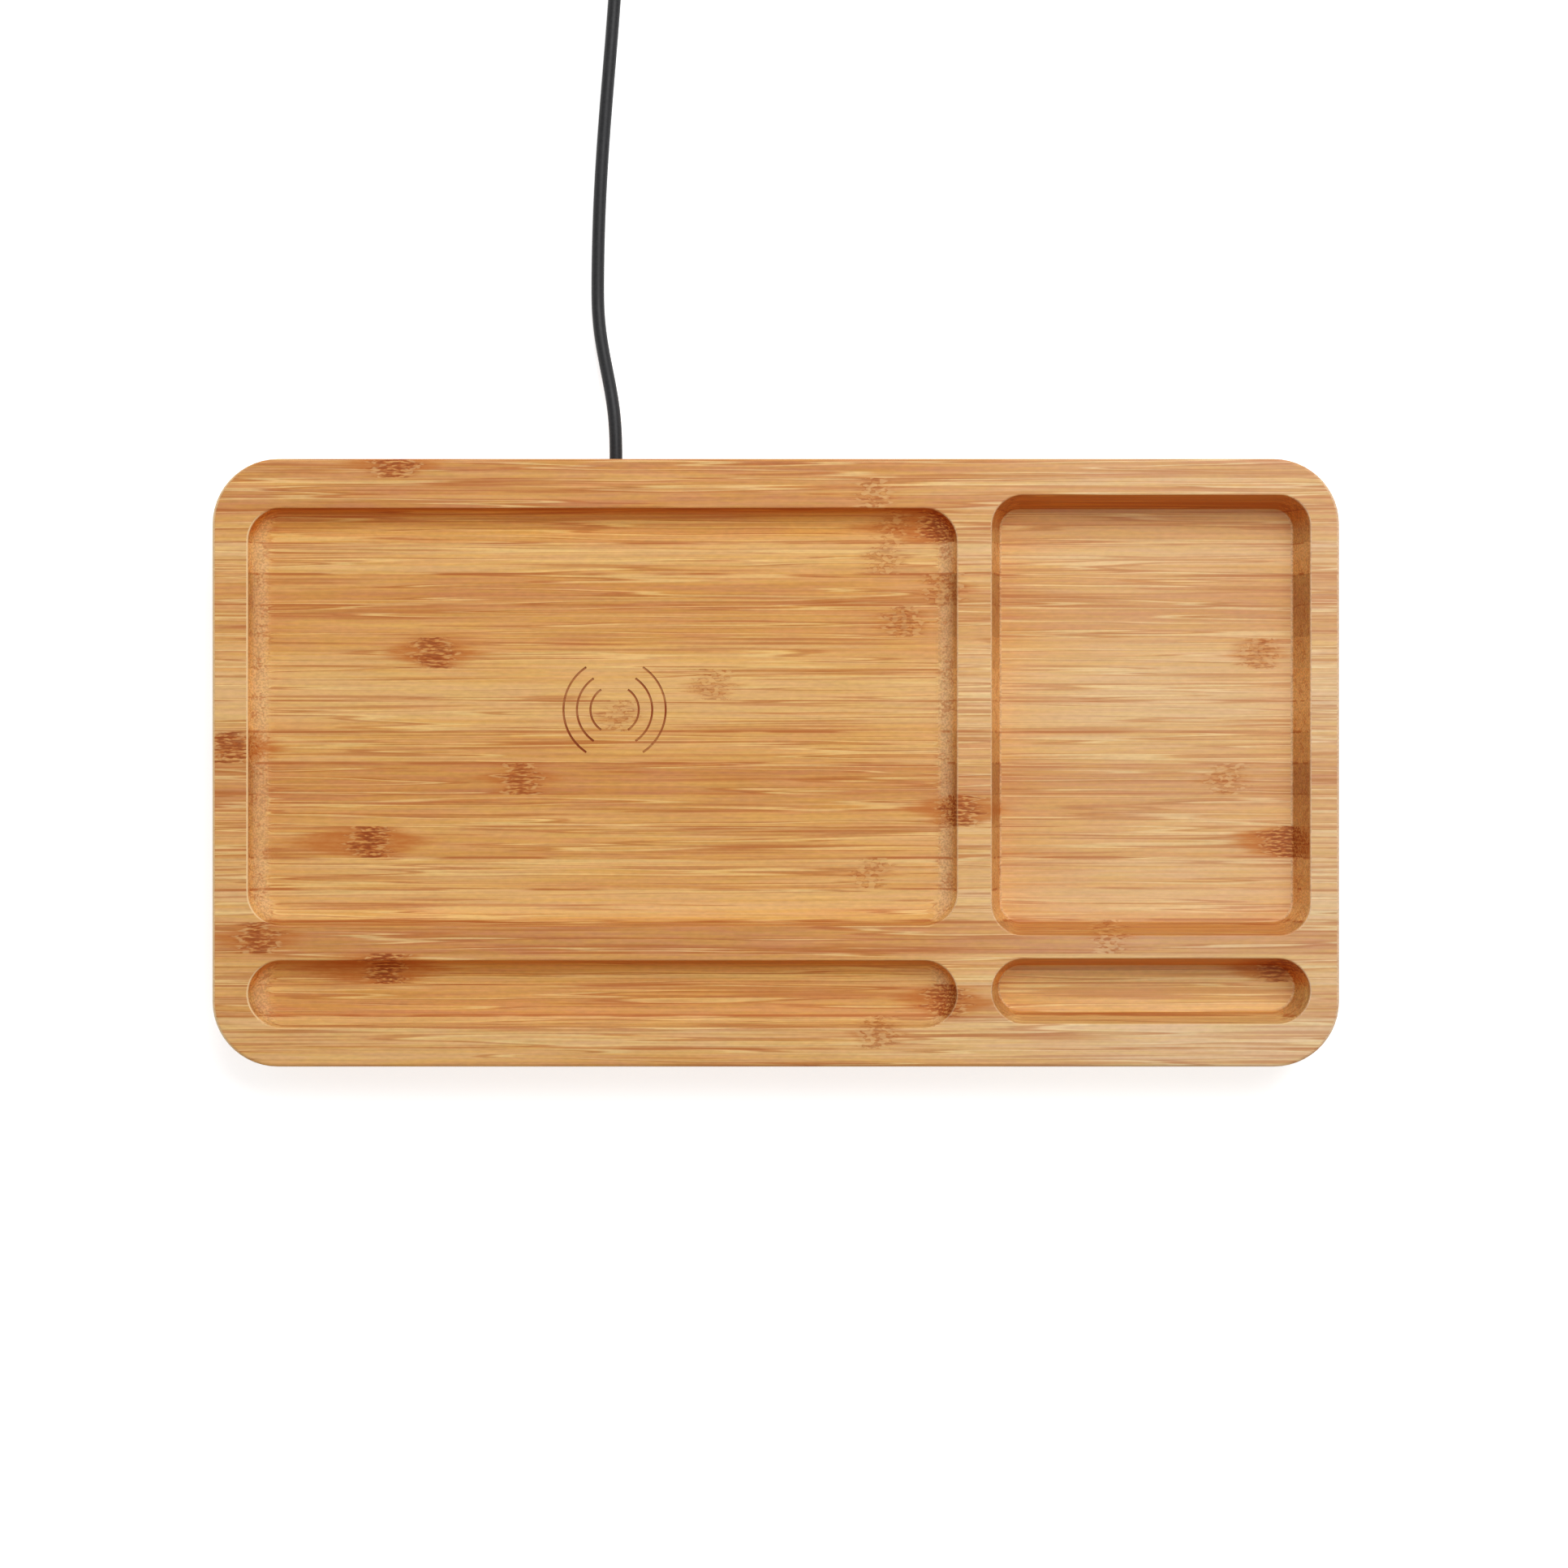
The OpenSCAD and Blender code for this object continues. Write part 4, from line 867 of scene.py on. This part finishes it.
def core_route(side, pad_x):
    """One core, from inside the jacket's end over to its pad."""
    z = EXIT.z / MM
    start = Vector((JACKET_END_X, LANE_Y + side * CORE_D * 0.6, z))
    reach = (pad_x - JACKET_END_X) / 2
    route = [start - Vector((1.5, side * 0.3, 0)), start] + bezier(
        start + Vector((CORE_D, 0, 0)), start + Vector((reach + CORE_D, 0, 0)),
        (pad_x, CORE_PAD_Y, PAD_TOP_Z + 3 * CORE_D), (pad_x, CORE_PAD_Y, PAD_TOP_Z + CORE_D), 10)
    return [Vector(p) * MM for p in route + [Vector((pad_x, CORE_PAD_Y, PAD_TOP_Z))]]


def inner_lead_route():
    """The lead inside the board, from the grommet through the clamp and round to the cores."""
    x, z = EXIT.x / MM, EXIT.z / MM
    bend = (x + BEND_R, LANE_Y + BEND_R, z)
    route = [(x, y, z) for y in (65.0, 60.0, 55.0, 50.0, 47.0)]
    route += [circle_point(bend, BEND_R, a) for a in range(180, 271, 10)]
    route += [(x + BEND_R + step, LANE_Y, z) for step in (1.5, 5.0, 9.0)] + [(JACKET_END_X, LANE_Y, z)]
    return [Vector(p) * MM for p in route]


def litz_material(looks):
    """Bundled enamelled strands, as fine diagonal lines round the wire."""
    material, nodes = new_material("litz_strands")
    place = nodes.millimetres()
    strands = nodes.noise(place, scale=5.5, detail=3.0, roughness=0.7)
    tone = nodes.mix(nodes.spread(strands, 0.35, 0.65), looks.copper, colour(206, 132, 84))
    principled(nodes, Base_Color=tone, Normal=bump(nodes, strands, 0.00005, 0.7), Metallic=0.85,
               Roughness=nodes.spread(strands, 0.3, 0.7, 0.34, 0.5))
    return material


def laminate_material(looks):
    """Green solder mask over a faint grid of tracks, and gold on the raised pads."""
    material, nodes = new_material("board_laminate")
    place = nodes.millimetres()
    z = nodes.split(place)["Z"]
    grid = nodes.add("TexBrick", {"Vector": place, "Scale": 1.0, "Mortar Size": 0.16, "Mortar Smooth": 0.1,
                                  "Brick Width": 3.4, "Row Height": 1.3, "Bias": 0.0,
                                  "Color1": (1, 1, 1, 1), "Color2": (0.6, 0.6, 0.6, 1),
                                  "Mortar": (0, 0, 0, 1)}, offset=0.37).outputs["Fac"]
    tone = nodes.mix(nodes.times(grid, 0.55), looks.board_mask, colour(46, 132, 76))
    raised = nodes.spread(z, 7.02, 7.04)
    tone = nodes.mix(raised, tone, colour(214, 178, 96))
    principled(nodes, Base_Color=tone, Normal=bump(nodes, grid, 0.00003, 0.5), Metallic=raised,
               Roughness=nodes.spread(nodes.noise(place, scale=0.6), 0.3, 0.7, 0.3, 0.42))
    return material


class TRAY_OT_dress_charger(Operator):
    """Adds the coil, foam, inner lead and cores, and dresses the board and its parts"""
    bl_idname = "tray.dress_charger"
    bl_label = "Dress charger"

    def execute(self, context):
        looks = context.scene.tray_looks
        jacket = bpy.data.objects["lead_cord"].active_material
        add_piece("litz_coil", round_curve(litz_route(), LITZ_D * MM, 2), litz_material(looks),
                  "litz_copper", "transmitter_coil")
        add_piece("inner_lead", round_curve(inner_lead_route(), LEAD_D), jacket,
                  "lead_jacket", "lead_inner")
        for name, side, pad_x, tone, deep in (
                ("red", 1, CORE_PAD_X + CORE_PAD_STEP, (168, 38, 32), (148, 30, 26)),
                ("black", -1, CORE_PAD_X, (34, 34, 36), (26, 26, 28))):
            slot = name + "_insulation"
            add_piece(name + "_wire", round_curve(core_route(side, pad_x), CORE_D * MM),
                      speckled(slot, tone, deep, 0.4, 0.4), slot, name + "_core")

        # The foam: softened edges and sides that bulge a little
        shape = bmesh.new()
        low, high, edge = FOAM_LOW_Z, FOAM_HIGH_Z, FOAM_EDGE
        inner, outer = LITZ_INNER_R, FOAM_R
        middle, half_way = (low + high) / 2, (inner + outer) / 2
        profile = [(low, inner + edge), (low, half_way), (low, outer - edge), (low + edge, outer),
                   (middle, outer + FOAM_BULGE), (high - edge, outer), (high, outer - edge),
                   (high, half_way), (high, inner + edge), (high - edge, inner),
                   (middle, inner - FOAM_BULGE), (low + edge, inner), (low, inner + edge)]
        lathe(shape, profile, (COIL_CENTRE.x, COIL_CENTRE.y, 0), (0, 0, 1), (1, 0, 0), 64)
        foam = speckled("foam_cells", (74, 75, 80), (44, 45, 48), 0.45, 0.9, 0.12)
        ring = add_piece("foam_ring", finish_mesh(shape, 60.0), foam, "foam", "foam_pad")

        dress(laminate_material(looks), "circuit_board")
        dress(speckled("coil_tape", (206, 176, 104), (190, 158, 88), 0.8, 0.35), "coil_tape")
        dress(speckled("ferrite", (58, 60, 64), (42, 43, 46), 0.25, 0.55, 0.01),
              "ferrite_shield", "filter_inductor")
        dress(speckled("chip_resin", (36, 36, 39), (50, 50, 53), 0.2, 0.6, 0.01),
              "controller_chip", "bridge_transistors")
        dress(speckled("capacitor_ceramic", (176, 142, 104), (156, 122, 86), 0.3, 0.45),
              "resonant_capacitors", "small_passives")
        dress(speckled("capacitor_can", (204, 206, 210), (184, 186, 190), 0.5, 0.3, Metallic=0.9),
              "input_capacitor")
        return {"FINISHED"}


class TRAY_OT_dress_underside(Operator):
    """Dresses the cover, the screws, the feet, the clamp and the grommet"""
    bl_idname = "tray.dress_underside"
    bl_label = "Dress underside"

    def execute(self, context):
        dress(speckled("cover_plastic", (40, 40, 43), (54, 54, 57), 0.28, 0.55, 0.03),
              "bottom_cover", "cable_clamp")
        dress(speckled("screw_steel", (186, 188, 192), (172, 174, 179), 1.2, 0.28, spread=0.08, Metallic=1.0),
              "cover_screws", "board_screws", "clamp_screws")
        dress(speckled("foot_silicone", (66, 66, 70), (54, 54, 58), 0.4, 0.7, 0.01),
              "foot_front_left", "foot_front_right", "foot_rear_left", "foot_rear_right")
        dress(speckled("grommet_rubber", (30, 30, 32), (42, 42, 44), 0.3, 0.62, 0.01), "grommet")
        return {"FINISHED"}


# -------- stage

def seen_directly(nodes):
    """One where the camera, a gloss or a glass sees a surface, zero for the light it gives off."""
    path = nodes.add("LightPath").outputs
    seen = nodes.math("MAXIMUM", path["Is Camera Ray"], path["Is Glossy Ray"])
    return nodes.math("MAXIMUM", seen, path["Is Transmission Ray"])


class TRAY_OT_set_stage(Operator):
    """Adds the pale floor, the lamp, the world and the camera"""
    bl_idname = "tray.set_stage"
    bl_label = "Set stage"

    def execute(self, context):
        scene = context.scene
        stage = scene.tray_stage
        scene.view_settings.view_transform = "Standard"

        shape = bmesh.new()
        bmesh.ops.create_circle(shape, cap_ends=True, segments=96, radius=stage.floor_radius)
        mesh = bpy.data.meshes.new("floor")
        shape.to_mesh(mesh)
        shape.free()
        floor = add_object("floor", mesh)
        material, nodes = new_material("floor_paper")
        grain = nodes.noise(nodes.millimetres(), scale=0.8)
        paper = nodes.mix(nodes.times(grain, 0.3), stage.floor_colour, colour(250, 250, 250))
        principled(nodes, Base_Color=paper, Roughness=0.9, Emission_Color=(1, 1, 1, 1),
                   Emission_Strength=nodes.times(seen_directly(nodes), stage.floor_lift))
        mesh.materials.append(material)

        world = bpy.data.worlds.new("studio")
        world.use_nodes = True
        world.node_tree.nodes.clear()
        nodes = Nodes(world.node_tree)
        strength = nodes.plus(stage.fill, nodes.times(seen_directly(nodes), 1.0 - stage.fill))
        background = nodes.add("Background", {"Color": (1, 1, 1, 1), "Strength": strength})
        nodes.add("OutputWorld", {"Surface": background.outputs[0]})
        scene.world = world

        softbox = bpy.data.lights.new("softbox", "AREA")
        softbox.energy = stage.lamp_power
        softbox.size = stage.lamp_size
        lamp = add_object("softbox", softbox)
        lamp.location = stage.lamp_place
        lamp.rotation_euler = Vector(stage.lamp_place).to_track_quat("Z", "Y").to_euler()

        lens = bpy.data.cameras.new("camera")
        lens.sensor_width = 36.0
        lens.lens = lens.sensor_width * stage.camera_height / stage.view_width
        lens.shift_x, lens.shift_y = stage.camera_shift
        camera = add_object("camera", lens)
        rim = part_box("bamboo_tray")[1][2]
        camera.location = (0.0, stage.camera_y, rim + stage.camera_height)
        scene.camera = camera
        return {"FINISHED"}


# -------- settings, panel and run

def shade(description, *tone):
    """A setting of a colour, given in sRGB."""
    return FloatVectorProperty(description=description, subtype="COLOR", size=4, min=0.0, max=1.0,
                               default=colour(*tone))


def measure(description, default, unit="LENGTH"):
    """A setting of a length, or of a number with another unit."""
    return FloatProperty(description=description, default=default, min=0.0, unit=unit)


class TrayLooks(PropertyGroup):
    """Colours of the tray"""
    bamboo_light: shade("Lightest tone of a strip", 232, 184, 118)
    bamboo_golden: shade("Usual tone of a strip", 226, 169, 96)
    bamboo_amber: shade("Darker tone of a strip", 213, 147, 78)
    bamboo_brown: shade("Darkest tone of a strip", 196, 121, 62)
    bamboo_bundle: shade("Dark bundles and glue lines", 178, 96, 42)
    knot_stain: shade("Stain along the fibres beside a knot", 194, 114, 50)
    knot_deep: shade("Middle of a knot", 172, 86, 32)
    knot_core: shade("Dark dashes in a knot", 132, 54, 16)
    # Painted highlight on the pockets' rims
    rim_highlight: shade("Palest fibres and worn edges", 248, 214, 160)
    bamboo_pale: shade("Pale lines beside the veins", 244, 206, 134)
    bamboo_yellow: shade("Yellower fibres", 214, 166, 84)
    bamboo_pink: shade("Pinker fibres", 210, 150, 108)
    # Painted light on the right end of the board
    bamboo_lit_right: shade("Bamboo paled by light", 224, 179, 132)
    bamboo_cut: shade("Bamboo cut across its fibres", 214, 168, 120)
    # Painted shade on the pockets' walls, darker on the rear walls
    wall_shade: shade("What a routed wall keeps of its colour", 246, 246, 242)
    rear_wall_shade: shade("What a rear wall keeps of its colour", 248, 198, 136)
    burnt: shade("Laser-burnt lines", 146, 66, 24)
    jacket: shade("Jacket of the lead", 20, 20, 22)
    strap: shade("Woven strap round the loops", 34, 34, 37)
    copper: shade("Strands of the coil", 176, 96, 54)
    board_mask: shade("Solder mask of the circuit board", 28, 104, 60)


class TrayStage(PropertyGroup):
    """Floor, light and camera"""
    floor_radius: measure("Radius of the floor", 2.5)
    floor_colour: shade("Colour of the floor", 244, 244, 244)
    floor_lift: measure("Brightness added to the floor as seen", 0.6, "NONE")
    fill: measure("Even light from all round", 0.40, "NONE")
    lamp_power: measure("Power of the softbox", 5.8, "POWER")
    lamp_size: measure("Side of the softbox", 0.6)
    lamp_place: FloatVectorProperty(description="Place of the softbox", subtype="TRANSLATION",
                                    default=(0.20, 0.46, 0.76))
    camera_height: measure("Height above the board's rim", 0.74)
    camera_y: measure("Place of the camera behind the origin", 0.0017)
    view_width: measure("Width of the view at the board's rim", 0.33509)
    camera_shift: FloatVectorProperty(description="Shift of the lens", size=2, default=(0.0052, -0.0186))


STEPS = (TRAY_OT_set_stage, TRAY_OT_add_tie, TRAY_OT_add_plug, TRAY_OT_lay_lead, TRAY_OT_dress_board,
         TRAY_OT_dress_charger, TRAY_OT_dress_underside)


class TRAY_PT_panel(Panel):
    """Lists the steps that dress the tray"""
    bl_idname = "TRAY_PT_panel"
    bl_label = "Charging Tray"
    bl_space_type = "VIEW_3D"
    bl_region_type = "UI"
    bl_category = "Tray"

    def draw(self, context):
        for step in STEPS:
            self.layout.operator(step.bl_idname)
        for group in (context.scene.tray_looks, context.scene.tray_stage):
            for name in group.bl_rna.properties.keys():
                if name not in ("rna_type", "name"):
                    self.layout.prop(group, name, text=name.replace("_", " ").capitalize())


CLASSES = (TrayLooks, TrayStage, *STEPS, TRAY_PT_panel)


def register():
    for cls in CLASSES:
        bpy.utils.register_class(cls)
    bpy.types.Scene.tray_looks = PointerProperty(type=TrayLooks)
    bpy.types.Scene.tray_stage = PointerProperty(type=TrayStage)


def unregister():
    del bpy.types.Scene.tray_looks
    del bpy.types.Scene.tray_stage
    for cls in reversed(CLASSES):
        bpy.utils.unregister_class(cls)


def main():
    register()
    for step in STEPS:
        getattr(bpy.ops.tray, step.bl_idname.split(".")[1])()


if __name__ == "__main__":
    main()
